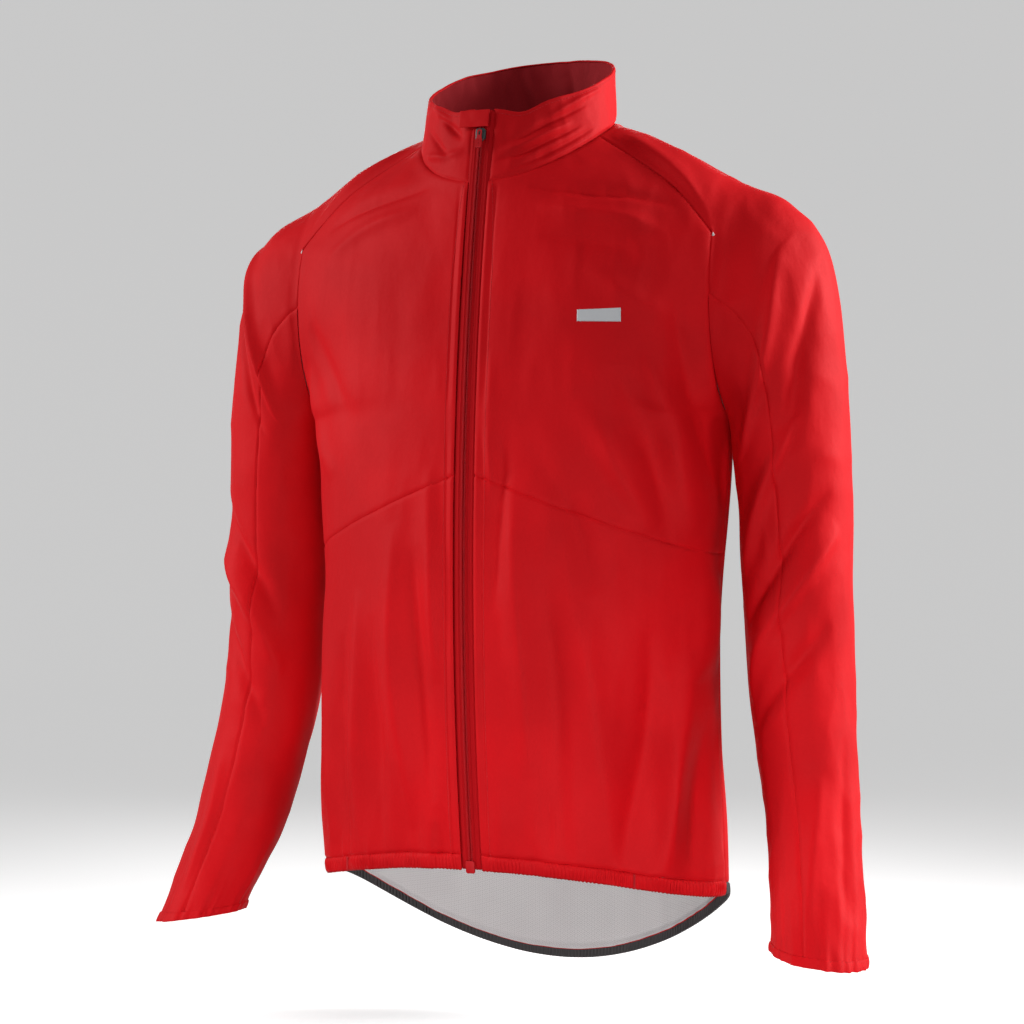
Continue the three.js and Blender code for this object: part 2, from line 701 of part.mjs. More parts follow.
const SLEEVE_RUN = 690;            // length of the sleeve's outer edge, for the cuff's share
const CUFF_SHARE = 1 - CUFF_HEIGHT / SLEEVE_RUN;
const CUFF_SEAM_SHARE = SEAM_GAP / SLEEVE_RUN;

function sleevePanel({ label, sign }, part, middle) {
  const seam = 0.006;
  const half = Math.PI / 2 - seam;
  const at = (u, w) => {
    const turn = middle + lerp(half, -half, u);
    return sleevePoint(turn, w * (CUFF_SHARE - CUFF_SEAM_SHARE));
  };
  const options = { keep: keepOutside, sign };
  return cloth(`sleeve_${part}_${label}`, at, 8, 16, CLOTH, RED_CLOTH, options);
}

function cuff({ label, sign }) {
  const at = (u, w) => sleevePoint(-2 * Math.PI * u, lerp(CUFF_SHARE, 1, w));
  const options = { wrapped: true, keep: keepOutside, sign };
  return cloth(`cuff_${label}`, at, 16, 1, CLOTH, RED_CLOTH, options);
}

// ---- The jacket ----------------------------------------------------------------------------
const jacket = new THREE.Group();
jacket.add(backPanel(), tailGripper(), collarShell(), collarLining());
jacket.add(windFlap(), zipGarage(), zipBottomBox(), zipSlider(), pullTab());
jacket.add(hangerLoop(), chestReflector());
for (const side of SIDES) {
  jacket.add(frontLower(side), frontUpper(side), hemBand(side), raglanCap(side));
  jacket.add(zipHalf(side), barTack(side));
  jacket.add(sleevePanel(side, "top", 0), sleevePanel(side, "under", Math.PI), cuff(side));
}

export default jacket;
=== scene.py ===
import logging
import math
from dataclasses import dataclass, field
from enum import Enum
from typing import Optional, Sequence

import bpy
import numpy as np
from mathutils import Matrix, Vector


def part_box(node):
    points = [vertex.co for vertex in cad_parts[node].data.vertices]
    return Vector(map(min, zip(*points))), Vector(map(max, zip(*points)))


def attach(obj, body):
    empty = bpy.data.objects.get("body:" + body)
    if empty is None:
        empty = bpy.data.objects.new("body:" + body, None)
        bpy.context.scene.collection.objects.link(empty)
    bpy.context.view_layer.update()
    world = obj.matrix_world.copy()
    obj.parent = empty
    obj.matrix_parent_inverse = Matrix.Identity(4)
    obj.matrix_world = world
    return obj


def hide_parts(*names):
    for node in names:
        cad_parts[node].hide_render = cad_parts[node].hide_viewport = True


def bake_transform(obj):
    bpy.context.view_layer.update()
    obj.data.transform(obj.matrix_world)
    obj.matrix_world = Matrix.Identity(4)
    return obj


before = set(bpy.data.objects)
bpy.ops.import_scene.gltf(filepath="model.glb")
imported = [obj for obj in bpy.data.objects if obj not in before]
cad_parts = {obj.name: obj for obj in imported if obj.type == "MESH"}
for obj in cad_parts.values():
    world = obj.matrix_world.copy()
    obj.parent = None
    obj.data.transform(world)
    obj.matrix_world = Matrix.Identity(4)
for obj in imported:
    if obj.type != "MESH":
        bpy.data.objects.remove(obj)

log = logging.getLogger("jacket")
Array = np.ndarray
MM = 0.001
FULL_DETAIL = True
STEP = 2.6 * MM if FULL_DETAIL else 5.0 * MM  # between the rows and columns of a sheet
WALL = 1.1 * MM  # the shell cloth with its backing, as made up
ZIP_INSET = 9.7 * MM  # from the centre line to the cloth beside the zip
ARM_CLEAR = 0.6 * MM  # kept free on each side of the plane between body and sleeve
PROUD = 0.12 * MM  # how far a row of stitches stands off its cloth
QUARTER = 0.5523  # the handle of a cubic curve that runs a quarter circle
FOLD_STRENGTH = 1.75  # how boldly every named fold stands out


# ---- Small maths ---------------------------------------------------------------------------
def lerp(a: Array, b: Array, t: Array) -> Array:
    """The straight mix of a and b."""
    return a + (b - a) * t


def smooth(value: Array, low: float, high: float) -> Array:
    """Rises from 0 to 1 as value goes from low to high, level at both ends."""
    t = np.clip((np.asarray(value, float) - low) / (high - low), 0, 1)
    return t * t * (3 - 2 * t)


def cubic(a: Array, b: Array, c: Array, d: Array, t: Array) -> Array:
    """A cubic curve from a to d with handles b and c."""
    s = 1 - t
    return s**3 * a + 3 * s * s * t * b + 3 * s * t * t * c + t**3 * d


def stack(x: Array, y: Array, z: Array) -> Array:
    """Three coordinate arrays as one array of points."""
    x, y, z = np.broadcast_arrays(x, y, z)
    return np.stack([x, y, z], axis=-1).astype(float)


def unit(v: Array) -> Array:
    """The same directions at length 1."""
    return v / np.maximum(np.linalg.norm(v, axis=-1, keepdims=True), 1e-12)


def level(points: Array, share: Array, passes: int) -> Array:
    """Levels a sheet of points by their neighbours, and keeps its edges.

    Args:
        points: rows and columns of points.
        share: how strongly each point inside the edges is levelled, from 0 to 1.
        passes: how many times.

    Returns:
        The levelled points.
    """
    points = points.copy()
    for _ in range(passes):
        mean = points[:-2, 1:-1] + points[2:, 1:-1] + points[1:-1, :-2] + points[1:-1, 2:]
        points[1:-1, 1:-1] += (mean / 4 - points[1:-1, 1:-1]) * share
    return points


def lattice_noise(p: Array, seed: int) -> Array:
    """Smooth random heights from -1 to 1 over points p, the same for the same seed.

    Args:
        p: points, in cells of the noise, with 2 or 3 coordinates.
        seed: which noise it is.

    Returns:
        One height for each point.
    """
    size = 64
    table = np.random.default_rng(seed).uniform(-1, 1, (size, size, size))
    if p.shape[-1] == 2:
        p = np.concatenate([p, np.zeros(p.shape[:-1] + (1,))], axis=-1)
    base = np.floor(p).astype(int)
    f = p - base
    f = f * f * (3 - 2 * f)
    total = np.zeros(p.shape[:-1])
    for corner in np.ndindex(2, 2, 2):
        weight = np.ones(p.shape[:-1])
        for axis, step in enumerate(corner):
            weight = weight * (f[..., axis] if step else 1 - f[..., axis])
        index = tuple((base[..., axis] + step) % size for axis, step in enumerate(corner))
        total = total + weight * table[index]
    return total


# ---- The jacket's surfaces -----------------------------------------------------------------
@dataclass
class Outline:
    """The jacket's outer surfaces, the same ones that the frame's solids stand for. Metres."""

    chest_half: float
    arm_plane: float
    tail_z: float
    side_hem_z: float
    front_hem_z: float
    rim_back_z: float
    waist_half: float = 0.187
    hem_half: float = 0.194
    side_seam_y: float = 0.022
    armpit_z: float = -0.250
    waist_z: float = -0.450
    tail_fullness: float = 1.9
    front_y: float = -0.110
    front_bend_z: float = -0.380
    zip_radius: float = 1.905
    back_upper_y: float = 0.118
    back_waist_y: float = 0.098
    back_tail_y: float = 0.106
    chevron_z: float = -0.299
    chevron_drop: float = 0.068
    neck_half: float = 0.088
    neck_back_y: float = 0.095
    neck_heights: tuple = (-0.042, 0.010, 0.025)
    rim_half: float = 0.084
    rim_back_y: float = 0.099
    rim_front_z: float = 0.022
    rim_side_z: float = 0.056
    shoulder_z: float = -0.037
    shoulder_rise: float = 0.026
    armhole_y: float = 0.030
    armhole_deep: float = 0.072
    raglan_angle: float = math.radians(60)
    raglan_neck_front: float = math.radians(77)
    raglan_neck_back: float = math.radians(112)
    armhole_share: float = 0.62
    stations: dict = field(
        default_factory=lambda: {
            "out": [0, 47, 79, 93, 102, 103, 107, 122, 139],
            "out_fall": [0, 25, 66, 136, 225, 333, 453, 573, 675],
            "in": [0, 2, 3.2, 4.4, 5.8, 11, 21, 40, 60],
            "in_fall": [0, 16, 36, 64, 106, 170, 268, 368, 450],
            "y": [30, 30, 30, 30, 30, 28, 22, 0, -46],
            "deep": [72, 67, 62, 57, 53.5, 50, 46, 42.5, 40],
        }
    )

    @classmethod
    def from_frame(cls) -> "Outline":
        """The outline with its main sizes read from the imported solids.

        Returns:
            The outline, with every other size as the solids have it.
        """
        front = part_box("front_upper_left")
        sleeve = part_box("sleeve_top_left")
        return cls(
            chest_half=front[1][0] - 1.0 * MM,
            arm_plane=(front[1][0] + sleeve[0][0]) / 2,
            tail_z=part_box("tail_gripper")[0][2],
            side_hem_z=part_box("hem_band_left")[0][2],
            front_hem_z=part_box("zip_half_left")[0][2] - 1.0 * MM,
            rim_back_z=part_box("collar_shell")[1][2],
        )

    # -- torso --
    def zip_y(self, z: Array) -> Array:
        """How far forward the closed zip lies at height z."""
        rise = np.asarray(z, float) - self.front_bend_z
        return self.front_y + self.zip_radius - np.sqrt(self.zip_radius**2 - rise**2)

    def half_width(self, z: Array) -> Array:
        """From the centre line to the side seam at height z."""
        upper = lerp(self.waist_half, self.chest_half, smooth(z, self.waist_z, self.armpit_z))
        lower = lerp(self.hem_half, self.waist_half, smooth(z, self.tail_z, self.waist_z))
        return np.where(np.asarray(z) > self.waist_z, upper, lower)

    def back_y(self, z: Array) -> Array:
        """How far behind the axis the middle of the back lies at height z."""
        upper = lerp(self.back_waist_y, self.back_upper_y, smooth(z, self.waist_z, self.armpit_z))
        lower = lerp(self.back_tail_y, self.back_waist_y, smooth(z, self.tail_z, self.waist_z))
        return np.where(np.asarray(z) > self.waist_z, upper, lower)

    def ring(self, turn: Array, half: float, front: float, back: float, heights: tuple) -> Array:
        """Points of a slanted oval; turn is 0 in front and a quarter circle on the left side."""
        c = np.cos(turn)
        even = (heights[0] + heights[2]) / 2 - heights[1]
        z = heights[1] + (heights[0] - heights[2]) / 2 * c + even * c * c
        return stack(half * np.sin(turn), (front + back) / 2 + (front - back) / 2 * c, z)

    def neck_seam(self, turn: Array) -> Array:
        """The collar's seam."""
        front = float(self.zip_y(self.neck_heights[0]))
        return self.ring(turn, self.neck_half, front, self.neck_back_y, self.neck_heights)

    def collar_rim(self, turn: Array) -> Array:
        """The collar's top edge."""
        heights = (self.rim_front_z, self.rim_side_z, self.rim_back_z)
        front = float(self.zip_y(self.rim_front_z))
        return self.ring(turn, self.rim_half, front, self.rim_back_y, heights)

    def armhole(self, angle: Array) -> Array:
        """The armhole's oval; the angle is 0 at its top and positive to the front."""
        middle = (self.shoulder_z + self.armpit_z) / 2
        half = (self.shoulder_z - self.armpit_z) / 2
        y = self.armhole_y - self.armhole_deep * np.sin(angle)
        return stack(self.arm_plane, y, middle + half * np.cos(angle))

    def raglan_edge(self, facing: int, s: Array) -> Array:
        """The outer edge of the upper front (1) or back (-1), from the armpit to the neck.

        Args:
            facing: 1 for the front, -1 for the back.
            s: shares of the way up, from 0 to 1.

        Returns:
            One point for each share.
        """
        s = np.asarray(s, float)
        corner = self.raglan_angle
        round_hole = np.clip(s / self.armhole_share, 0, 1)
        low_part = self.armhole(facing * lerp(math.pi, corner, round_hole))
        low = self.armhole(np.array(facing * corner))
        turn = self.raglan_neck_front if facing > 0 else self.raglan_neck_back
        high = self.neck_seam(np.array(turn))
        bulge = lerp(low, high, 0.45) + np.array([12, -2 * facing, 6]) * MM
        t = np.clip((s - self.armhole_share) / (1 - self.armhole_share), 0, 1)[..., None]
        seam = cubic(low, bulge, bulge, high, t)
        return np.where((s < self.armhole_share)[..., None], low_part, seam)

    def heading(self, facing: int, s: Array) -> Array:
        """Which way the cloth runs as it reaches that edge.

        Args:
            facing: 1 for the front, -1 for the back.
            s: shares of the way up that edge.

        Returns:
            A direction of length 1 for each share.
        """
        side, shoulder = np.array((0, 1, 0)), np.array((0.85, 0.5, 0.05))
        neck = np.array((0.3, 0.85, 0.45))
        way = lerp(side, shoulder, smooth(s, 0, 0.4)[..., None])
        way = lerp(way, neck, smooth(s, 0.6, 1)[..., None])
        way = way * np.array([1, facing, 1])
        return unit(way)

    def across(self, t: Array) -> Array:
        """The share of the half width that t has reached."""
        return cubic(0, QUARTER, 1, 1, t)

    def hem_height(self, facing: int, t: Array) -> Array:
        """Height of the hem, in front or behind."""
        if facing > 0:
            return lerp(self.front_hem_z, self.side_hem_z, self.across(t) ** 2)
        depth = np.clip(cubic(1, 1, QUARTER, 0, t), 0, 1)
        return lerp(self.side_hem_z, self.tail_z, depth**self.tail_fullness)

    def lower_body(self, facing: int, t: Array, v: Array, inset: float) -> Array:
        """The body from the hem (v = 0) to the armpit (v = 1).

        Args:
            facing: 1 for the front, -1 for the back.
            t: shares from the centre line to the side.
            v: shares of the height.
            inset: how far from the centre line t begins.

        Returns:
            The points.
        """
        z = lerp(self.hem_height(facing, t), self.armpit_z, v)
        y = self.zip_y(z) if facing > 0 else self.back_y(z)
        half = self.half_width(z)
        x = cubic(inset, lerp(inset, half, QUARTER), half, half, t)
        depth = cubic(y, y, lerp(self.side_seam_y, y, QUARTER), self.side_seam_y, t)
        return stack(x, depth, z)

    def upper_body(self, facing: int, t: Array, s: Array, inset: float) -> Array:
        """The body from the armpit (s = 0) to the neck seam (s = 1).

        Args:
            facing: 1 for the front, -1 for the back.
            t: shares from the centre line to the side.
            s: shares of the height.
            inset: how far from the centre line t begins.

        Returns:
            The points.
        """
        t, s = np.broadcast_arrays(np.asarray(t, float), np.asarray(s, float))
        neck_z = self.neck_heights[0] if facing > 0 else self.neck_heights[2]
        z = lerp(self.armpit_z, neck_z, s)
        rear = smooth(s, 0.25, 1.1) / float(smooth(1, 0.25, 1.1))
        y = self.zip_y(z) if facing > 0 else lerp(self.back_upper_y, self.neck_back_y, rear)
        centre = stack(inset, y, z)
        edge = self.raglan_edge(facing, s)
        settle = smooth(s, 0, 0.12)
        edge[..., 0] = lerp(self.chest_half, edge[..., 0], settle)
        edge[..., 1] = lerp(self.side_seam_y, edge[..., 1], settle)
        first = centre.copy()
        first[..., 0] = lerp(inset, edge[..., 0], QUARTER)
        far = np.linalg.norm(edge - centre, axis=-1) * 0.3
        reach = lerp(np.abs(edge[..., 1] - y) * QUARTER, far, smooth(s, 0, 0.4))
        second = edge - self.heading(facing, s) * reach[..., None]
        return cubic(centre, first, second, edge, t[..., None])

    def body(self, facing: int, t: Array, v: Array, inset: float = 0.0) -> Array:
        """A point of the body: t from the centre line to the side, v from the hem (0) to the neck (2).

        Args:
            facing: 1 for the front, -1 for the back.
            t: shares of the way across.
            v: shares of the way up.
            inset: how far from the centre line t begins.

        Returns:
            The points.
        """
        t, v = np.broadcast_arrays(np.asarray(t, float), np.asarray(v, float))
        low = self.lower_body(facing, t, np.clip(v, None, 1), inset)
        s = np.clip(v - 1, 0, 1)
        high = self.upper_body(facing, t, s, inset)
        start = math.asin(inset / self.neck_half)
        if facing > 0:
            turn = lerp(start, self.raglan_neck_front, t)
        else:
            turn = lerp(math.pi - start, self.raglan_neck_back, t)
        pull = smooth(s, 0.55, 1)[..., None]
        top = self.upper_body(facing, t, np.ones_like(s), inset)
        high = high + (self.neck_seam(turn) - top) * pull
        return np.where((v <= 1)[..., None], low, high)

    def share(self, facing: int, t: Array, z: Array) -> Array:
        """v at height z, below the armpit."""
        hem = self.hem_height(facing, t)
        return (z - hem) / (self.armpit_z - hem)

    def seam_lines(self) -> Array:
        """Points along the left-hand neck, raglan, armhole and side seams.

        Returns:
            The points, one row for each.
        """
        ring = self.neck_seam(np.linspace(0, math.pi, 120))
        oval = self.armhole(np.linspace(-math.pi, math.pi, 160))
        rising = np.linspace(self.armhole_share, 1, 60)
        raglan = [self.raglan_edge(facing, rising) for facing in (1, -1)]
        z = np.linspace(self.side_hem_z, self.armpit_z, 160)
        side = stack(self.half_width(z), self.side_seam_y, z)
        return np.concatenate([ring, oval, *raglan, side])

    def seam_fade(self, points: Array, reach: float = 0.012) -> Array:
        """0 on a seam of the body, and 1 from reach away, so that panels meet along it.

        Args:
            points: places on the body or a sleeve.
            reach: the distance at which it is 1, in metres.

        Returns:
            One value for each place.
        """
        flat = points.reshape(-1, 3).copy()
        flat[:, 0] = np.abs(flat[:, 0])
        lines = self.seam_lines()
        nearest = np.full(len(flat), 1.0)
        for start in range(0, len(flat), 4000):
            part = flat[start : start + 4000]
            gap = np.linalg.norm(part[:, None, :] - lines[None, :, :], axis=-1)
            nearest[start : start + 4000] = gap.min(axis=1)
        return smooth(nearest.reshape(points.shape[:-1]), 0.0005, reach)

    # -- sleeve --
    def station(self, key: str, w: Array) -> Array:
        """One measure of the sleeve at share w of its length, smooth through the stations.

        Args:
            key: which measure.
            w: shares of the length.

        Returns:
            The measure at each share, in metres.
        """
        values = np.array(self.stations[key], float) * MM
        last = len(values) - 1
        place = np.clip(w, 0, 1) * last
        i = np.minimum(last - 1, np.floor(place).astype(int))
        f = place - i
        a, b, c, d = (values[np.clip(i + k, 0, last)] for k in (-1, 0, 1, 2))
        square, cube = 2 * a - 5 * b + 4 * c - d, 3 * b - a - 3 * c + d
        return 0.5 * (2 * b + (c - a) * f + square * f**2 + cube * f**3)

    def sleeve(self, turn: Array, w: Array) -> Array:
        """A point of the left sleeve; turn is 0 on its outer edge and negative in front.

        Args:
            turn: angles round the sleeve.
            w: shares of its length.

        Returns:
            The points.
        """
        turn, w = np.broadcast_arrays(np.asarray(turn, float), np.asarray(w, float))
        out_x = self.arm_plane + self.station("out", w)
        in_x = self.arm_plane + self.station("in", w)
        out_z = self.shoulder_z - self.station("out_fall", w)
        in_z = self.armpit_z - self.station("in_fall", w)
        c = np.cos(turn)
        x = np.maximum((out_x + in_x) / 2 + (out_x - in_x) / 2 * c, self.arm_plane)
        y = self.station("y", w) + self.station("deep", w) * np.sin(turn)
        return stack(x, y, (out_z + in_z) / 2 + (out_z - in_z) / 2 * c)

    def shoulder(self, u: Array, w: Array) -> Array:
        """The raglan's top: u from the back seam to the front one, w from the neck to the arm plane.

        Args:
            u: shares of the way forward.
            w: shares of the way out.

        Returns:
            The points.
        """
        u, w = np.broadcast_arrays(np.asarray(u, float), np.asarray(w, float))

        def arch(at: Array) -> Array:
            """The line over the shoulder at those shares of the way out."""
            s = lerp(1.0, self.armhole_share, at)
            front, back = self.raglan_edge(1, s), self.raglan_edge(-1, s)
            middle_turn = (self.raglan_neck_front + self.raglan_neck_back) / 2
            neck = self.neck_seam(np.array(middle_turn))
            top = stack(
                lerp(neck[0], self.arm_plane, at),
                lerp(neck[1], self.armhole_y, at),
                lerp(neck[2], self.shoulder_z, at) + self.shoulder_rise * at * (1 - at),
            )
            middle = 2 * top - 0.5 * front - 0.5 * back
            k = u[..., None]
            return back * (1 - k) ** 2 + middle * 2 * k * (1 - k) + front * k * k

        seam = self.neck_seam(lerp(self.raglan_neck_back, self.raglan_neck_front, u))
        return arch(w) + (seam - arch(np.zeros_like(w))) * ((1 - w) ** 3)[..., None]


# ---- Folds in the cloth --------------------------------------------------------------------
@dataclass(frozen=True)
class Fold:
    """A soft ridge, or a valley where height is below 0, on a surface's own chart.

    Lengths are metres; start and end are places on the chart, and bow bends the line sideways.
    """

    start: tuple
    end: tuple
    width: float
    height: float
    bow: float = 0.0
    lean: float = 0.0

    def lift(self, chart: Array) -> Array:
        """How far this fold lifts each point of a chart.

        Args:
            chart: places with two coordinates.

        Returns:
            The lift at each place, in metres.
        """
        a, b = np.array(self.start), np.array(self.end)
        run = b - a
        length = float(np.hypot(*run))
        ahead = run / length
        aside = np.array([-ahead[1], ahead[0]])
        offset = chart - a
        along = (offset @ ahead) / length
        inside = np.clip(along, 0, 1)
        wander = 0.35 * self.width * np.sin(along * 5.1 + self.start[0] * 90)
        across = offset @ aside - self.bow * 4 * inside * (1 - inside) - wander * inside
        taper = np.sin(math.pi * inside) ** 0.8 * (along > 0) * (along < 1)
        width = self.width * (0.65 + 0.35 * taper)
        side = 1 + self.lean * np.tanh(across / width)
        profile = np.exp(-np.abs(across / (width * side)) ** 1.7)
        return FOLD_STRENGTH * self.height * taper * profile


@dataclass
class Drape:
    """Everything that makes a surface hang as cloth: its named folds and its loose unevenness."""

    folds: Sequence[Fold] = ()
    slack: float = 2.5 * MM
    ripple: float = 0.6 * MM
    grain: tuple = (16.0, 16.0, 5.0)
    seed: int = 3

    def lift(self, points: Array, chart: Array) -> Array:
        """The total lift of each point.

        Args:
            points: places on the surface.
            chart: the same places on the surface's own chart.

        Returns:
            The lift along the outward direction, in metres.
        """
        grain = np.array(self.grain)
        broad = lattice_noise(points * grain + 7.3, self.seed)
        middle = lattice_noise(points * grain * 2.3 + 1.9, self.seed + 1)
        ridged = 1 - 2 * np.abs(lattice_noise(points * grain * 3.4 + 4.1, self.seed + 2))
        total = self.slack * (broad + 0.4 * middle) + self.ripple * ridged
        for fold in self.folds:
            total = total + fold.lift(chart)
        return total


# ---- Meshes --------------------------------------------------------------------------------
def edged(length: float, step: float, fine: Sequence[float] = (0.7, 1.6, 3.0)) -> Array:
    """Shares from 0 to 1 that are even in the middle and closer together near both ends.

    Args:
        length: the real length, in metres.
        step: the even spacing, in metres.
        fine: extra places near each end, in millimetres.

    Returns:
        The shares, in order.
    """
    close = np.array([0.0, *fine]) * MM / length
    count = max(4, int(round(length / step)))
    middle = np.linspace(close[-1], 1 - close[-1], count)
    return np.concatenate([close[:-1], middle, 1 - close[:-1][::-1]])


@dataclass
class Grid:
    """A sheet of points in rows and columns, which becomes one mesh."""

    points: Array
    away: Array

    def normals(self) -> Array:
        """The outward direction at every point.

        Returns:
            One direction of length 1 for each point, softened over its neighbours.
        """
        across = np.gradient(self.points, axis=1)
        up = np.gradient(self.points, axis=0)
        normal = np.cross(across, up)
        for _ in range(3):
            wide = np.pad(normal, ((1, 1), (1, 1), (0, 0)), mode="edge")
            beside = wide[:-2, 1:-1] + wide[2:, 1:-1] + wide[1:-1, :-2] + wide[1:-1, 2:]
            normal = (beside + 2 * normal) / 6
        normal = unit(normal)
        facing = np.sum(normal * self.away, axis=-1)
        return normal * (1.0 if np.mean(facing) > 0 else -1.0)

    def arc(self, axis: int) -> Array:
        """The distance of every point along its row (axis 1) or column (axis 0)."""
        step = np.linalg.norm(np.diff(self.points, axis=axis), axis=-1)
        start = np.zeros_like(np.take(step, [0], axis=axis))
        return np.concatenate([start, np.cumsum(step, axis=axis)], axis=axis)

    def edge_distance(self, sides: Sequence[str]) -> Array:
        """The distance of every point from the nearest of the named sides.

        Args:
            sides: any of start, end, bottom and top.

        Returns:
            The distance along the cloth, in metres.
        """
        across, up = self.arc(1), self.arc(0)
        table = {
            "start": across,
            "end": across[:, -1:] - across,
            "bottom": up,
            "top": up[-1:, :] - up,
        }
        nearest = np.full(across.shape, 1.0)
        for side in sides:
            nearest = np.minimum(nearest, table[side])
        return nearest

    def moved(self, lift: Array) -> "Grid":
        """The same sheet with every point moved outwards by its lift."""
        return Grid(self.points + self.normals() * lift[..., None], self.away)

    def seamed(self, sides: Sequence[str], depth: float = 1.0 * MM, width: float = 2.6 * MM) -> "Grid":
        """The same sheet with the named sides turned in, as at a sewn seam."""
        distance = self.edge_distance(sides)
        pucker = 1 + 0.35 * lattice_noise(self.points * 160, 21)
        return self.moved(-depth * pucker * (1 - smooth(distance, 0, width)))

    def eased_at(self, height: float, reach: float = 16 * MM, passes: int = 14) -> "Grid":
        """The same sheet, levelled about one height."""
        near = np.exp(-(((self.points[1:-1, 1:-1, 2:] - height) / reach) ** 2))
        return Grid(level(self.points, near, passes), self.away)

    def lapped(
        self, sides: Sequence[str], reach: float = 2.5 * MM, depth: float = 1.7 * MM
    ) -> "Grid":
        """Adds a seam allowance, which runs on under the next sheet.

        Args:
            sides: the sewn sides.
            reach: how far the allowance runs on.
            depth: how far under the surface it ends.

        Returns:
            The sheet with one more row or column along each of those sides.
        """
        grid, normals, inner = self, self.normals(), np.ones(self.points.shape[:2])
        for side in (name for name in ("bottom", "top", "start", "end") if name in sides):
            axis = 0 if side in ("bottom", "top") else 1
            first = side in ("bottom", "start")
            at, near = (0, 2) if first else (-1, -3)
            edge = np.take(grid.points, [at], axis)
            out = unit(edge - np.take(grid.points, [near], axis))
            out = out * np.take(inner, [at], axis)[..., None]
            lap = edge + out * reach - np.take(normals, [at], axis) * depth
            pad = (1, 0) if first else (0, 1)
            wide = [pad, (0, 0)] if axis == 0 else [(0, 0), pad]
            normals = np.pad(normals, wide + [(0, 0)], mode="edge")
            inner = np.pad(inner, wide)
            away = np.take(grid.away, [at], axis)
            points = [lap, grid.points] if first else [grid.points, lap]
            aways = [away, grid.away] if first else [grid.away, away]
            grid = Grid(np.concatenate(points, axis), np.concatenate(aways, axis))
        return grid

    def flat_size(self) -> tuple:
        """The width, length and area of the cut piece."""
        p = self.points
        a = np.cross(p[1:, 1:] - p[:-1, :-1], p[1:, :-1] - p[:-1, 1:])
        area = float(np.linalg.norm(a, axis=-1).sum() / 2)
        width, length = float(self.arc(1).max()), float(self.arc(0).max())
        return width, max(length, area / width * 1.001), area

    def mirrored(self) -> "Grid":
        """The wearer's right-hand copy of a left-hand sheet."""
        flip = np.array([-1.0, 1.0, 1.0])
        return Grid(self.points * flip, self.away * flip)

    def mesh(self, name: str, closed: bool = False) -> bpy.types.Object:
        """Makes the mesh, with a map in metres of cloth named cloth.

        Args:
            name: the object's name.
            closed: whether the last column joins the first.

        Returns:
            The object, at the origin.
        """
        rows, columns = self.points.shape[:2]
        index = np.arange(rows * columns).reshape(rows, columns)
        if closed:
            index = np.concatenate([index, index[:, :1]], axis=1)
        corners = [index[:-1, :-1], index[:-1, 1:], index[1:, 1:], index[1:, :-1]]
        quads = np.stack(corners, -1).reshape(-1, 4)
        flat = self.points.reshape(-1, 3)
        q = flat[quads]
        way = np.cross(q[:, 2] - q[:, 0], q[:, 3] - q[:, 1])
        if np.sum(way * self.away.reshape(-1, 3)[quads[:, 0]]) < 0:
            quads = quads[:, ::-1]
        across, up = self.arc(1), self.arc(0)
        across = across - across[:, across.shape[1] // 2, None]
        place = np.stack([across, up], axis=-1).reshape(-1, 2)
        return mesh_object(name, flat, quads, place)


def mesh_object(
    name: str, points: Array, faces: Sequence, place: Optional[Array] = None
) -> bpy.types.Object:
    """A smooth-shaded mesh object from points and faces.

    Args:
        name: the object's name.
        points: its vertices, in metres.
        faces: its faces, as vertex numbers.
        place: each vertex's place on the cloth map, where it has one.

    Returns:
        The object, linked to the scene.
    """
    mesh = bpy.data.meshes.new(name)
    mesh.from_pydata(np.asarray(points).tolist(), [], [list(map(int, f)) for f in faces])
    if place is not None:
        layer = mesh.uv_layers.new(name="cloth")
        corners = np.zeros(len(mesh.loops), np.int32)
        mesh.loops.foreach_get("vertex_index", corners)
        layer.data.foreach_set("uv", place[corners].astype(np.float32).ravel())
    mesh.polygons.foreach_set("use_smooth", [True] * len(mesh.polygons))
    mesh.update()
    made = bpy.data.objects.new(name, mesh)
    bpy.context.scene.collection.objects.link(made)
    return made


def thicken(piece: bpy.types.Object, wall: float) -> None:
    """Gives a sheet its wall, inwards, with its second finish on the inside.

    Args:
        piece: the sheet, with its finishes on it.
        wall: the thickness, in metres.
    """
    solid = piece.modifiers.new("wall", "SOLIDIFY")
    solid.thickness = wall
    solid.offset = -1
    solid.use_quality_normals = True
    solid.material_offset = 1 if len(piece.data.materials) > 1 else 0
    solid.material_offset_rim = 0


def round_edges(piece: bpy.types.Object, width: float, segments: int = 2) -> None:
    """Rounds a hard piece's edges."""
    bevel = piece.modifiers.new("edge", "BEVEL")
    bevel.width = width
    bevel.segments = segments
    bevel.limit_method = "ANGLE"


def dress(piece: bpy.types.Object, *finishes: "Finish") -> None:
    """Puts finishes on a piece, the first one outside."""
    for finish in finishes:
        piece.data.materials.append(finish.material())


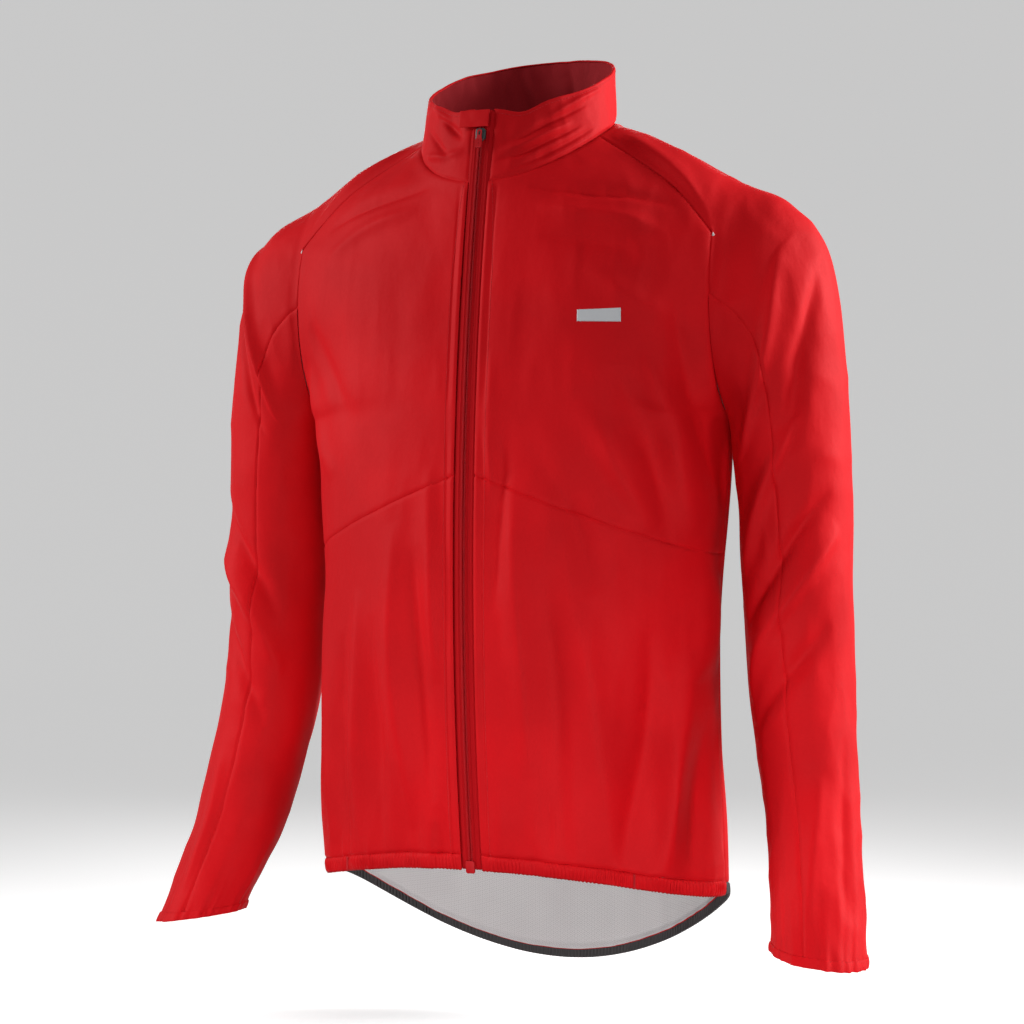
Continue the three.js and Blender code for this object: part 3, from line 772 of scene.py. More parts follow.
# ---- Shader maths --------------------------------------------------------------------------
class Value:
    """A shader socket that Python's own signs work on."""

    def __init__(self, shader: "Shader", socket: bpy.types.NodeSocket) -> None:
        """Wraps an output socket of a shader."""
        self.shader = shader
        self.socket = socket

    def _sum(self, operation: str, *values: object) -> "Value":
        """Adds one Math node."""
        inputs = {number: value for number, value in enumerate(values)}
        return self.shader.node("ShaderNodeMath", {"operation": operation}, inputs)

    def __add__(self, other: object) -> "Value":
        """self + other."""
        return self._sum("ADD", self, other)

    __radd__ = __add__

    def __sub__(self, other: object) -> "Value":
        """self - other."""
        return self._sum("SUBTRACT", self, other)

    def __rsub__(self, other: object) -> "Value":
        """other - self."""
        return self._sum("SUBTRACT", other, self)

    def __mul__(self, other: object) -> "Value":
        """self * other."""
        return self._sum("MULTIPLY", self, other)

    __rmul__ = __mul__

    def sin(self) -> "Value":
        """The sine."""
        return self._sum("SINE", self)

    def absolute(self) -> "Value":
        """The size without its sign."""
        return self._sum("ABSOLUTE", self)

    def highest(self, other: object) -> "Value":
        """The larger of two."""
        return self._sum("MAXIMUM", self, other)

    def ramp(self, low: float, high: float) -> "Value":
        """0 below low and 1 above high, smooth between."""
        settings = {"interpolation_type": "SMOOTHSTEP"}
        return self.shader.node("ShaderNodeMapRange", settings, {"Value": self, 1: low, 2: high})


class Shader:
    """One material's node tree, built up by calls."""

    def __init__(self, name: str) -> None:
        """Starts an empty material."""
        self.material = bpy.data.materials.new(name)
        self.material.use_nodes = True
        self.tree = self.material.node_tree
        self.tree.nodes.clear()
        self.place = self.node("ShaderNodeTexCoord", output="Object")
        self.cloth = self.node("ShaderNodeUVMap", {"uv_map": "cloth"}, output="UV")

    def node(
        self,
        kind: str,
        settings: Optional[dict] = None,
        inputs: Optional[dict] = None,
        output: object = 0,
    ) -> Value:
        """Adds a node.

        Args:
            kind: the node's type.
            settings: its own properties, set first.
            inputs: values or links for its sockets, by name or number.
            output: which of its outputs is returned.

        Returns:
            That output.
        """
        made = self.tree.nodes.new(kind)
        for key, value in (settings or {}).items():
            setattr(made, key, value)
        for key, value in (inputs or {}).items():
            if isinstance(value, Value):
                self.tree.links.new(value.socket, made.inputs[key])
            else:
                made.inputs[key].default_value = value
        return Value(self, made.outputs[output])

    def mix(self, share: object, first: object, second: object) -> Value:
        """A mix of two colours."""
        inputs = {0: share, 6: first, 7: second}
        return self.node("ShaderNodeMix", {"data_type": "RGBA"}, inputs, output=2)

    def noise(
        self, scale: float, detail: float = 2.0, rough: float = 0.5, on: Optional[Value] = None
    ) -> Value:
        """A noise on the object's own coordinates, from about 0.3 to 0.7."""
        inputs = {"Vector": on or self.place, "Scale": scale, "Detail": detail, "Roughness": rough}
        return self.node("ShaderNodeTexNoise", {}, inputs)

    def stretched(self, scale: Sequence[float]) -> Value:
        """The object's coordinates, stretched."""
        return self.node("ShaderNodeMapping", {}, {"Vector": self.place, "Scale": scale})

    def along(self, axis: str) -> Value:
        """One axis of the cloth map, in metres."""
        return self.node("ShaderNodeSeparateXYZ", {}, {0: self.cloth}, output=axis)

    def bump(self, height: Value, distance: float, strength: float = 1.0) -> Value:
        """A bump from a height from 0 to 1."""
        inputs = {"Height": height, "Distance": distance, "Strength": strength}
        return self.node("ShaderNodeBump", {}, inputs)

    def surface(self, inputs: dict) -> bpy.types.Material:
        """Ends the tree in one surface and returns the material."""
        shader = self.node("ShaderNodeBsdfPrincipled", {}, inputs)
        end = self.tree.nodes.new("ShaderNodeOutputMaterial")
        self.tree.links.new(shader.socket, end.inputs["Surface"])
        return self.material


def linear(red: int, green: int, blue: int) -> tuple:
    """A colour as seen on a screen, from 0 to 255, as a shader's colour."""
    values = [c / 255 for c in (red, green, blue)]
    bent = [c / 12.92 if c <= 0.04045 else ((c + 0.055) / 1.055) ** 2.4 for c in values]
    return (*bent, 1.0)


def weave_height(shader: Shader, pitch: float) -> Value:
    """A plain weave's height, from 0 to 1, with threads pitch apart."""
    turn = 2 * math.pi / pitch
    warp, weft = (shader.along("X") * turn).sin(), (shader.along("Y") * turn).sin()
    return warp * weft * 0.5 + 0.5


# ---- Finishes ------------------------------------------------------------------------------
@dataclass(frozen=True)
class Finish:
    """What a piece is made of. Each kind builds its own material once."""

    name: str = "finish"
    slot: str = "shell_cloth"

    def build(self) -> bpy.types.Material:
        """Makes the material."""
        raise NotImplementedError

    def material(self) -> bpy.types.Material:
        """The material, made the first time that it is asked for."""
        return bpy.data.materials.get(self.name) or self.build()


@dataclass(frozen=True)
class ShellCloth(Finish):
    """Light laminated rain cloth: a fine weave under a dull film, crumpled very slightly."""

    name: str = "shell_cloth_red"
    colour: tuple = linear(206, 10, 20)
    deep: tuple = linear(176, 8, 16)
    thread: float = 0.55 * MM
    crumple: float = 0.9 * MM

    def build(self) -> bpy.types.Material:
        """Makes the material."""
        s = Shader(self.name)
        broad = s.noise(9.0, 3.0)
        fine = s.noise(420.0, 2.0, 0.6)
        soft = s.noise(34.0, 3.0, 0.55, on=s.stretched((1.0, 1.0, 0.55)))
        weave = weave_height(s, self.thread)
        shade = (broad.ramp(0.32, 0.68) * 0.45 + fine * 0.3).highest(0)
        colour = s.mix(shade, self.colour, self.deep)
        first = s.bump(weave * 0.6 + fine * 0.4, 0.05 * MM, 0.5)
        height = soft * 0.8 + s.noise(95.0, 2.0) * 0.2
        inputs = {"Height": height, "Distance": self.crumple * 2.4, "Strength": 0.55, "Normal": first}
        normal = s.node("ShaderNodeBump", {}, inputs)
        return s.surface(
            {
                "Base Color": colour,
                "Roughness": 0.56 + broad * 0.12 + fine * 0.06,
                "Specular IOR Level": 0.1,
                "Normal": normal,
            }
        )


@dataclass(frozen=True)
class MeshBacking(Finish):
    """The cloth's pale inner face, with a fine printed honeycomb grid."""

    name: str = "mesh_backing"
    colour: tuple = linear(222, 217, 217)
    line: tuple = linear(176, 168, 170)
    cell: float = 3.6 * MM

    def build(self) -> bpy.types.Material:
        """Makes the material."""
        s = Shader(self.name)
        across, up = s.along("X"), s.along("Y")
        turn = 2 * math.pi / self.cell
        third = math.pi / 3
        waves = [
            ((across * math.cos(k * third) + up * math.sin(k * third)) * turn).sin() for k in range(3)
        ]
        comb = (waves[0] * waves[1] + waves[1] * waves[2] + waves[2] * waves[0]).absolute()
        line = 1 - comb.ramp(0.05, 0.5)
        broad = s.noise(14.0, 3.0)
        tone = s.mix(line * 0.75, self.colour, self.line)
        colour = s.mix(broad.ramp(0.35, 0.7) * 0.2, tone, linear(196, 186, 188))
        crease = s.noise(40.0, 3.0, 0.6, on=s.stretched((1.0, 1.0, 0.4)))
        return s.surface(
            {
                "Base Color": colour,
                "Roughness": 0.62 + broad * 0.15,
                "Specular IOR Level": 0.3,
                "Normal": s.bump(crease * 0.85 + line * 0.15, 1.4 * MM, 0.5),
            }
        )


@dataclass(frozen=True)
class BrushedLining(Finish):
    """The soft lining inside the collar, a darker red."""

    name: str = "collar_lining_red"
    slot: str = "collar_lining"
    colour: tuple = linear(150, 16, 26)

    def build(self) -> bpy.types.Material:
        """Makes the material."""
        s = Shader(self.name)
        pile, broad = s.noise(900.0, 2.0, 0.7), s.noise(30.0, 3.0)
        colour = s.mix(pile.ramp(0.3, 0.7) * 0.35 + broad * 0.3, self.colour, linear(118, 10, 18))
        return s.surface(
            {
                "Base Color": colour,
                "Roughness": 0.75 + pile * 0.2,
                "Specular IOR Level": 0.2,
                "Sheen Weight": 0.25,
                "Sheen Roughness": 0.4,
                "Sheen Tint": linear(255, 120, 120),
                "Normal": s.bump(pile * 0.5 + broad * 0.5, 0.5 * MM, 0.5),
            }
        )


@dataclass(frozen=True)
class RibbedTape(Finish):
    """Woven tape with fine ribs along it."""

    name: str = "zip_tape_red"
    slot: str = "zip_tape"
    colour: tuple = linear(200, 10, 20)
    # The deeper red, painted into the troughs between the ribs as painted shade.
    deep: tuple = linear(150, 7, 14)
    rib: float = 0.9 * MM
    axis: str = "X"

    def build(self) -> bpy.types.Material:
        """Makes the material."""
        s = Shader(self.name)
        turn = 2 * math.pi / self.rib
        rib = (s.along(self.axis) * turn).sin() * 0.5 + 0.5
        weave = (s.along("Y") * (turn * 1.7)).sin() * 0.5 + 0.5
        fuzz = s.noise(700.0, 2.0)
        # Painted shade: the troughs between the ribs, low in the bump below, are painted in the deeper red;
        # the fuzz adds random tone.
        colour = s.mix(rib * 0.5 + fuzz * 0.3, self.deep, self.colour)
        return s.surface(
            {
                "Base Color": colour,
                "Roughness": 0.66 + fuzz * 0.2,
                "Specular IOR Level": 0.08,
                "Normal": s.bump(rib * 0.7 + weave * 0.15 + fuzz * 0.15, 0.25 * MM, 0.5),
            }
        )


@dataclass(frozen=True)
class Elastic(Finish):
    """Charcoal gripper elastic with a ribbed face, its raised ribs and specks painted lighter as a painted
    highlight.
    """

    name: str = "gripper_elastic"
    slot: str = "gripper"
    colour: tuple = linear(38, 35, 36)

    def build(self) -> bpy.types.Material:
        """Makes the material."""
        s = Shader(self.name)
        rib = (s.along("X") * (2 * math.pi / (1.9 * MM))).sin() * 0.5 + 0.5
        dots = s.noise(520.0, 2.0, 0.7)
        # Painted highlight: the raised ribs and specks, lifted by the bump below, are painted a lighter grey.
        colour = s.mix(rib * 0.4 + dots * 0.35, self.colour, linear(74, 70, 71))
        return s.surface(
            {
                "Base Color": colour,
                "Roughness": 0.6 + dots * 0.25,
                "Specular IOR Level": 0.35,
                "Normal": s.bump(rib * 0.7 + dots * 0.3, 0.4 * MM, 0.7),
            }
        )


@dataclass(frozen=True)
class PaintedMetal(Finish):
    """The slider's dark painted die casting, worn a little where it is handled."""

    name: str = "slider_metal"
    slot: str = "slider_metal"
    colour: tuple = linear(38, 62, 60)

    def build(self) -> bpy.types.Material:
        """Makes the material."""
        s = Shader(self.name)
        wear, grain = s.noise(260.0, 3.0, 0.6).ramp(0.56, 0.72), s.noise(1500.0, 2.0)
        colour = s.mix(wear * 0.5, self.colour, linear(110, 122, 120))
        return s.surface(
            {
                "Base Color": colour,
                "Metallic": 0.35 + wear * 0.5,
                "Roughness": 0.34 + grain * 0.15,
                "Normal": s.bump(grain, 0.04 * MM, 0.5),
            }
        )


@dataclass(frozen=True)
class MouldedPlastic(Finish):
    """Coloured nylon, for the coil, the stops and the pull."""

    name: str = "moulded_red"
    slot: str = "pull_plastic"
    colour: tuple = linear(184, 10, 20)

    def build(self) -> bpy.types.Material:
        """Makes the material."""
        s = Shader(self.name)
        grain, broad = s.noise(1300.0, 2.0), s.noise(120.0, 2.0)
        colour = s.mix(broad * 0.4, self.colour, linear(112, 10, 18))
        return s.surface(
            {
                "Base Color": colour,
                "Roughness": 0.48 + grain * 0.18,
                "Specular IOR Level": 0.2,
                "Normal": s.bump(grain, 0.05 * MM, 0.4),
            }
        )


@dataclass(frozen=True)
class SewingThread(Finish):
    """Twisted polyester thread in the cloth's own red."""

    name: str = "thread_red"
    slot: str = "shell_cloth"
    colour: tuple = linear(176, 10, 20)

    def build(self) -> bpy.types.Material:
        """Makes the material."""
        s = Shader(self.name)
        twist = s.noise(2400.0, 1.0)
        colour = s.mix(twist * 0.7, self.colour, linear(196, 26, 36))
        return s.surface({"Base Color": colour, "Roughness": 0.5 + twist * 0.2, "Specular IOR Level": 0.35})


@dataclass(frozen=True)
class ReflectivePrint(Finish):
    """A plain bar of silver reflective print, with glass beads in it."""

    name: str = "reflective_print"
    slot: str = "reflective_print"
    colour: tuple = linear(172, 168, 170)

    def build(self) -> bpy.types.Material:
        """Makes the material."""
        s = Shader(self.name)
        beads, worn = s.noise(2200.0, 2.0, 0.7), s.noise(90.0, 3.0).ramp(0.6, 0.75)
        colour = s.mix(beads * 0.5 + worn * 0.3, self.colour, linear(132, 120, 124))
        return s.surface(
            {
                "Base Color": colour,
                "Metallic": 0.25 + beads * 0.3,
                "Roughness": 0.38 + beads * 0.25,
                "Normal": s.bump(beads, 0.05 * MM, 0.5),
            }
        )


SHELL = ShellCloth()
BACKING = MeshBacking()
LINING = BrushedLining()
TAPE = RibbedTape()
LOOP_TAPE = RibbedTape(name="loop_tape_red", slot="loop_tape")
ELASTIC = Elastic()
METAL = PaintedMetal()
PLASTIC = MouldedPlastic()
THREAD = SewingThread()
PRINT = ReflectivePrint()


# ---- Repeated small things -----------------------------------------------------------------
@dataclass
class Repeater:
    """Sets one small rounded shape after another along paths, with Geometry Nodes."""

    pitch: float
    length: float
    thickness: float
    height: float
    across: bool = False

    def tree(self) -> bpy.types.NodeTree:
        """Builds the node tree, with named inputs for its sizes.

        Returns:
            The tree, which ends in real geometry with its finish on it.
        """
        group = bpy.data.node_groups.new("shapes_along_a_path", "GeometryNodeTree")
        face = group.interface
        face.new_socket("Geometry", in_out="INPUT", socket_type="NodeSocketGeometry")
        for name in ("Pitch", "Length", "Thickness", "Height"):
            face.new_socket(name, in_out="INPUT", socket_type="NodeSocketFloat")
        face.new_socket("Finish", in_out="INPUT", socket_type="NodeSocketMaterial")
        face.new_socket("Geometry", in_out="OUTPUT", socket_type="NodeSocketGeometry")
        new, link = group.nodes.new, group.links.new
        start, end = new("NodeGroupInput"), new("NodeGroupOutput")
        curve = new("GeometryNodeMeshToCurve")
        link(start.outputs["Geometry"], curve.inputs["Mesh"])
        spread = new("GeometryNodeResampleCurve")
        spread.mode = "LENGTH"
        link(curve.outputs[0], spread.inputs["Curve"])
        link(start.outputs["Pitch"], spread.inputs["Length"])
        shape = new("GeometryNodeMeshUVSphere")
        shape.inputs["Segments"].default_value = 8
        shape.inputs["Rings"].default_value = 4
        shape.inputs["Radius"].default_value = 0.5
        size = new("ShaderNodeCombineXYZ")
        order = ("Length", "Height", "Thickness") if self.across else ("Thickness", "Height", "Length")
        for axis, name in zip("XYZ", order):
            link(start.outputs[name], size.inputs[axis])
        tangent = new("GeometryNodeInputTangent")
        turn = new("FunctionNodeAlignRotationToVector")
        turn.axis = "Z"
        turn.pivot_axis = "X" if self.across else "AUTO"
        link(tangent.outputs[0], turn.inputs["Vector"])
        place = new("GeometryNodeInstanceOnPoints")
        link(spread.outputs[0], place.inputs["Points"])
        link(shape.outputs["Mesh"], place.inputs["Instance"])
        link(turn.outputs[0], place.inputs["Rotation"])
        link(size.outputs[0], place.inputs["Scale"])
        real = new("GeometryNodeRealizeInstances")
        link(place.outputs[0], real.inputs[0])
        finish = new("GeometryNodeSetMaterial")
        link(real.outputs[0], finish.inputs["Geometry"])
        link(start.outputs["Finish"], finish.inputs["Material"])
        link(finish.outputs[0], end.inputs[0])
        return group

    def along(self, name: str, paths: Sequence[Array], finish: Finish) -> bpy.types.Object:
        """Makes one plain mesh of the shapes.

        Args:
            name: the piece's name.
            paths: lines of points, each one a run of shapes.
            finish: what the shapes are made of.

        Returns:
            The piece.
        """
        points = np.concatenate(paths)
        edges, first = [], 0
        for path in paths:
            edges += [(first + i, first + i + 1) for i in range(len(path) - 1)]
            first += len(path)
        line = bpy.data.meshes.new(name + "_path")
        line.from_pydata(points.tolist(), edges, [])
        carrier = bpy.data.objects.new(name + "_path", line)
        bpy.context.scene.collection.objects.link(carrier)
        group = self.tree()
        live = carrier.modifiers.new("shapes", "NODES")
        live.node_group = group
        values = {
            "Pitch": self.pitch,
            "Length": self.length,
            "Thickness": self.thickness,
            "Height": self.height,
            "Finish": finish.material(),
        }
        for item in group.interface.items_tree:
            if item.in_out == "INPUT" and item.name in values:
                live[item.identifier] = values[item.name]
        graph = bpy.context.evaluated_depsgraph_get()
        mesh = bpy.data.meshes.new_from_object(carrier.evaluated_get(graph), depsgraph=graph)
        carrier.modifiers.remove(live)
        bpy.data.objects.remove(carrier)
        mesh.name = name
        if not mesh.materials:
            mesh.materials.append(finish.material())
        made = bpy.data.objects.new(name, mesh)
        bpy.context.scene.collection.objects.link(made)
        made.data.polygons.foreach_set("use_smooth", [True] * len(mesh.polygons))
        return made


STITCHES = Repeater(pitch=3.1 * MM, length=2.5 * MM, thickness=0.42 * MM, height=0.42 * MM)
TACK_STITCHES = Repeater(pitch=0.75 * MM, length=1.1 * MM, thickness=0.4 * MM, height=0.4 * MM)
COIL = Repeater(pitch=1.25 * MM, length=2.3 * MM, thickness=0.85 * MM, height=1.25 * MM, across=True)


class Side(Enum):
    """The wearer's left and right."""

    LEFT = 1
    RIGHT = -1

    @property
    def label(self) -> str:
        """The side's name."""
        return self.name.lower()


class Held(Enum):
    """How a sheet of cloth is held."""

    HUNG = "hung"
    GATHERED = "gathered"
    STRETCHED = "stretched"


def settle(
    piece: bpy.types.Object,
    body: str,
    finish: Finish,
    *nodes: str,
    cut: Optional[tuple] = None,
    held: Held = Held.HUNG,
) -> None:
    """Hands a finished piece to its body and reports it.

    Args:
        piece: the finished piece.
        body: the body that it rides on, or an empty word, which leaves it on no body.
        finish: its main finish; not used.
        nodes: the solids that it stands for.
        cut: the width, length and area of its cloth, where it is a sheet; not used.
        held: how that cloth is held; not used.
    """
    if body:
        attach(piece, body)
    if nodes:
        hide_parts(*nodes)
    log.info("%s: %d faces, on %s", piece.name, len(piece.data.polygons), body or "two bodies")


# ---- Fronts --------------------------------------------------------------------------------
@dataclass
class Fronts:
    """The two fronts: upper and lower panels, the gathered hem, its tacks and the chest bar."""

    outline: Outline
    band: float = 14.0 * MM
    welt: float = 1.2 * MM
    width: float = 0.235
    gathers: tuple = ((0.030, 0.150, 3.6), (0.014, 0.045, 3.0), (0.0075, 0.016, 1.6))
    folds: dict = field(
        default_factory=lambda: {
            Side.LEFT: (
                Fold((0.150, -0.195), (0.182, -0.350), 0.010, 6.0 * MM, 0.004, 0.3),
                Fold((0.100, -0.235), (0.150, -0.350), 0.012, 5.5 * MM, 0.006, 0.3),
                Fold((0.128, -0.205), (0.168, -0.360), 0.011, -4.5 * MM, 0.005),
                Fold((0.172, -0.150), (0.192, -0.330), 0.010, -5.0 * MM, 0.004),
                Fold((0.060, -0.270), (0.115, -0.400), 0.013, -3.5 * MM, 0.005),
                Fold((0.045, -0.048), (0.170, -0.066), 0.0045, -2.6 * MM, 0.003, 0.2),
                Fold((0.055, -0.066), (0.165, -0.088), 0.007, 2.2 * MM, 0.003),
                Fold((0.060, -0.092), (0.150, -0.110), 0.008, -1.6 * MM, 0.002),
                Fold((0.100, -0.120), (0.185, -0.180), 0.010, 2.2 * MM, 0.004),
                Fold((0.022, -0.190), (0.030, -0.330), 0.006, 2.4 * MM, -0.003),
                Fold((0.036, -0.260), (0.024, -0.420), 0.008, -2.8 * MM, 0.003),
                Fold((0.040, -0.300), (0.052, -0.560), 0.010, 3.6 * MM, 0.004),
                Fold((0.070, -0.380), (0.076, -0.630), 0.013, -3.0 * MM, 0.006),
                Fold((0.095, -0.400), (0.120, -0.640), 0.012, 3.4 * MM, 0.008),
                Fold((0.150, -0.430), (0.128, -0.640), 0.010, -4.6 * MM, 0.010),
                Fold((0.172, -0.450), (0.150, -0.655), 0.010, 6.0 * MM, 0.008, 0.3),
                Fold((0.184, -0.500), (0.170, -0.660), 0.008, -4.0 * MM, 0.004),
                Fold((0.188, -0.380), (0.176, -0.480), 0.010, 4.0 * MM, 0.003),
            ),
            Side.RIGHT: (
                Fold((0.050, -0.042), (0.165, -0.075), 0.005, -2.6 * MM, 0.004, 0.2),
                Fold((0.060, -0.062), (0.160, -0.100), 0.007, 2.2 * MM, 0.004),
                Fold((0.190, -0.200), (0.150, -0.300), 0.011, 4.5 * MM, 0.004, 0.3),
                Fold((0.180, -0.160), (0.110, -0.260), 0.010, -3.0 * MM, 0.006),
                Fold((0.034, -0.290), (0.024, -0.480), 0.009, 3.8 * MM, 0.003),
                Fold((0.050, -0.360), (0.034, -0.600), 0.009, -4.0 * MM, 0.004),
                Fold((0.070, -0.340), (0.060, -0.610), 0.011, 4.2 * MM, 0.006, 0.2),
                Fold((0.096, -0.420), (0.088, -0.640), 0.011, -4.0 * MM, 0.005),
                Fold((0.116, -0.400), (0.112, -0.640), 0.011, 4.6 * MM, 0.006, 0.2),
                Fold((0.140, -0.440), (0.138, -0.645), 0.010, -4.0 * MM, 0.004),
                Fold((0.165, -0.380), (0.160, -0.640), 0.012, 4.2 * MM, 0.005),
                Fold((0.186, -0.520), (0.184, -0.668), 0.015, 4.5 * MM, 0.002),
            ),
        }
    )

    def drape(self, side: Side) -> Drape:
        """How one front hangs."""
        seed = 5 if side is Side.LEFT else 11
        return Drape(self.folds[side], 3.0 * MM, 0.5 * MM, (17.0, 17.0, 5.5), seed)

    def columns(self) -> Array:
        """Where the columns stand, closer together beside the zip."""
        near = np.linspace(0, 12 * MM, 17 if FULL_DETAIL else 9)[:-1] / self.width
        even = np.linspace(near[-1] + STEP / self.width, 1 - 3 * MM / self.width, int(0.22 / STEP))
        return np.concatenate([near, even, 1 - np.array([1.6, 0.7, 0]) * MM / self.width])

    def hung(self, flat: Array, side: Side, seams: Sequence[str]) -> Grid:
        """A left-hand sheet hung as cloth, on either side.

        Args:
            flat: its points as the outline has them.
            side: which front it belongs to.
            seams: its sewn sides.

        Returns:
            The sheet with its folds, its welt beside the zip and its seams.
        """
        o = self.outline
        away = flat - np.array([0.06, 0.02, 0.0]) * np.ones_like(flat)
        away[..., 2] = 0
        grid = Grid(flat, away)
        lift = self.lift(grid, side)
        hung = grid.moved(lift).seamed(seams)
        limit = np.maximum(flat[..., 0], o.arm_plane - ARM_CLEAR)
        hung.points[..., 0] = np.minimum(hung.points[..., 0], limit)
        hung = hung.eased_at(o.armpit_z).lapped(seams)
        return hung if side is Side.LEFT else hung.mirrored()

    def lift(self, grid: Grid, side: Side) -> Array:
        """How far every point of a front stands off its outline.

        Args:
            grid: a left-hand sheet.
            side: which front it belongs to.

        Returns:
            The lift of each point, in metres.
        """
        o, flat = self.outline, grid.points
        lift = self.drape(side).lift(flat * np.array([side.value, 1, 1]), flat[..., ::2])
        rim = grid.edge_distance(["start"])
        lift *= smooth(rim, -4 * MM, 22 * MM)
        hem = o.hem_height(1, np.clip(flat[..., 0] / o.hem_half, 0, 1))
        bottom = np.maximum(flat[..., 2] - hem, 0)
        beside = smooth(rim, 0, 20 * MM)
        for pitch, reach, height in self.gathers:
            place = np.stack([flat[..., 0] / pitch, flat[..., 2] * 5 + side.value * 3.7], axis=-1)
            wave = 1 - 2 * np.abs(lattice_noise(place, 31)) ** 0.8
            lift += height * MM * np.exp(-((bottom / reach) ** 1.5)) * wave * beside
        lift += self.welt * np.exp(-(((rim - 2.6 * MM) / (2.2 * MM)) ** 2))
        lift -= 0.8 * MM * np.exp(-(((rim - 8.0 * MM) / (1.2 * MM)) ** 2))
        return lift * o.seam_fade(flat)

    def chevron(self, t: Array) -> Array:
        """The share of the height at which the chest seam lies."""
        o = self.outline
        return o.share(1, t, o.chevron_z - o.chevron_drop * o.across(t))

    def hem_share(self, t: Array, height: float) -> Array:
        """The share of the height that lies this far above the hem."""
        return self.outline.share(1, t, self.outline.hem_height(1, t) + height)

    def upper(self, side: Side) -> Grid:
        """One upper front."""
        t = self.columns()[None, :]
        w = edged(0.26, STEP)[:, None]
        v = lerp(self.chevron(t), np.full_like(t, 1.999), w)
        return self.hung(self.outline.body(1, t, v, ZIP_INSET), side, ["bottom", "top", "end"])

    def lower(self, side: Side) -> Grid:
        """One lower front."""
        t = self.columns()[None, :]
        w = edged(0.33, STEP)[:, None]
        v = lerp(self.hem_share(t, self.band), self.chevron(t), w)
        return self.hung(self.outline.body(1, t, v, ZIP_INSET), side, ["bottom", "top", "end"])

    def hem(self, side: Side) -> Grid:
        """One gathered hem band, with its elastic inside.

        Args:
            side: which front.

        Returns:
            The gathered sheet.
        """
        o = self.outline
        count = 420 if FULL_DETAIL else 160
        t = np.linspace(0, 1, count)[None, :]
        w = np.linspace(0, 1, 9)[:, None]
        v = self.hem_share(t, self.band) * w + self.hem_share(t, 0.0) * (1 - w)
        flat = o.body(1, t, v, ZIP_INSET)
        away = flat * np.array([1, 1, 0]) - np.array([0.06, 0.02, 0])
        grid = Grid(flat, away)
        arc = grid.arc(1)
        phase = lattice_noise(np.stack([arc * 90, w * 2 + 0 * arc], -1), 41 + side.value)
        pleat = np.sin(arc * (2 * math.pi / (3.3 * MM)) + phase * 2.6) * (0.55 + 0.45 * phase)
        bulge = np.sin(math.pi * w) ** 0.6
        lift = (pleat * (0.3 + 0.7 * bulge) + 1.2 * bulge - w**6) * MM
        lift = lift * smooth(arc, -3 * MM, 10 * MM) + self.lift(grid, side) * (0.4 + 0.6 * w)
        moved = grid.moved(lift)
        moved.points[..., 2] += 0.5 * MM * pleat * (1 - w)
        return moved if side is Side.LEFT else moved.mirrored()

    def chest_bar(self) -> bpy.types.Object:
        """The plain reflective bar, printed on the wearer's left chest.

        Returns:
            The bar, just proud of the cloth and shaped to it.
        """
        o = self.outline
        low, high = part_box("chest_reflector")
        t = np.linspace(0.35, 0.55, 40)[None, :]
        v = np.linspace(1.40, 1.44, 9)[:, None]
        flat = o.body(1, t, v, ZIP_INSET)
        away = flat * np.array([1, 1, 0]) - np.array([0.06, 0.02, 0])
        lift = self.drape(Side.LEFT).lift(flat, flat[..., ::2])
        made = Grid(flat, away).moved(lift + 0.35 * MM).mesh("chest_bar")
        dress(made, PRINT)
        thicken(made, 0.25 * MM)
        log.info("chest bar %.0f mm wide", (high[0] - low[0]) / MM)
        return made

    def tack(self, side: Side, hem: Grid) -> bpy.types.Object:
        """One bar tack across the hem band, in close zigzag stitches.

        Args:
            side: which front.
            hem: its hem band.

        Returns:
            The stitches.
        """
        low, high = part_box(f"hem_bar_tack_{side.label}")
        base = hem.points[:, np.argmin(np.abs(hem.points[4, :, 0] - (low[0] + high[0]) / 2))]
        rise = np.linspace(1.2 * MM, self.band - 1.2 * MM, 30)
        zigzag = 0.9 * MM * (-1) ** np.arange(len(rise))
        path = stack(base[4, 0] + zigzag, base[:, 1].min() - 0.5 * MM, base[0, 2] + rise)
        return TACK_STITCHES.along(f"hem_tack_{side.label}", [path], THREAD)

    def build(self) -> None:
        """Makes and dresses both fronts."""
        for side in Side:
            upper, lower, hem = self.upper(side), self.lower(side), self.hem(side)
            for part, grid, node in (
                ("upper_front", upper, "front_upper"),
                ("lower_front", lower, "front_lower"),
                ("hem_gather", hem, "hem_band"),
            ):
                piece = grid.mesh(f"{part}_{side.label}")
                dress(piece, SHELL, BACKING)
                thicken(piece, WALL)
                held = Held.GATHERED if part == "hem_gather" else Held.HUNG
                settle(piece, "jacket_body", SHELL, f"{node}_{side.label}", cut=grid.flat_size(), held=held)
            tack = self.tack(side, hem)
            settle(tack, "jacket_body", THREAD, f"hem_bar_tack_{side.label}")
            lines = [self.seam_line(upper), self.seam_line(lower)]
            sewn = STITCHES.along(f"zip_topstitch_{side.label}", lines, THREAD)
            settle(sewn, "jacket_body", THREAD)
        bar = self.chest_bar()
        settle(bar, "jacket_body", PRINT, "chest_reflector")

    def seam_line(self, front: Grid) -> Array:
        """The topstitched line beside the zip, just proud of the cloth."""
        lifted = front.moved(np.full(front.points.shape[:2], PROUD))
        return lifted.points[3:-3, 10 if FULL_DETAIL else 5]


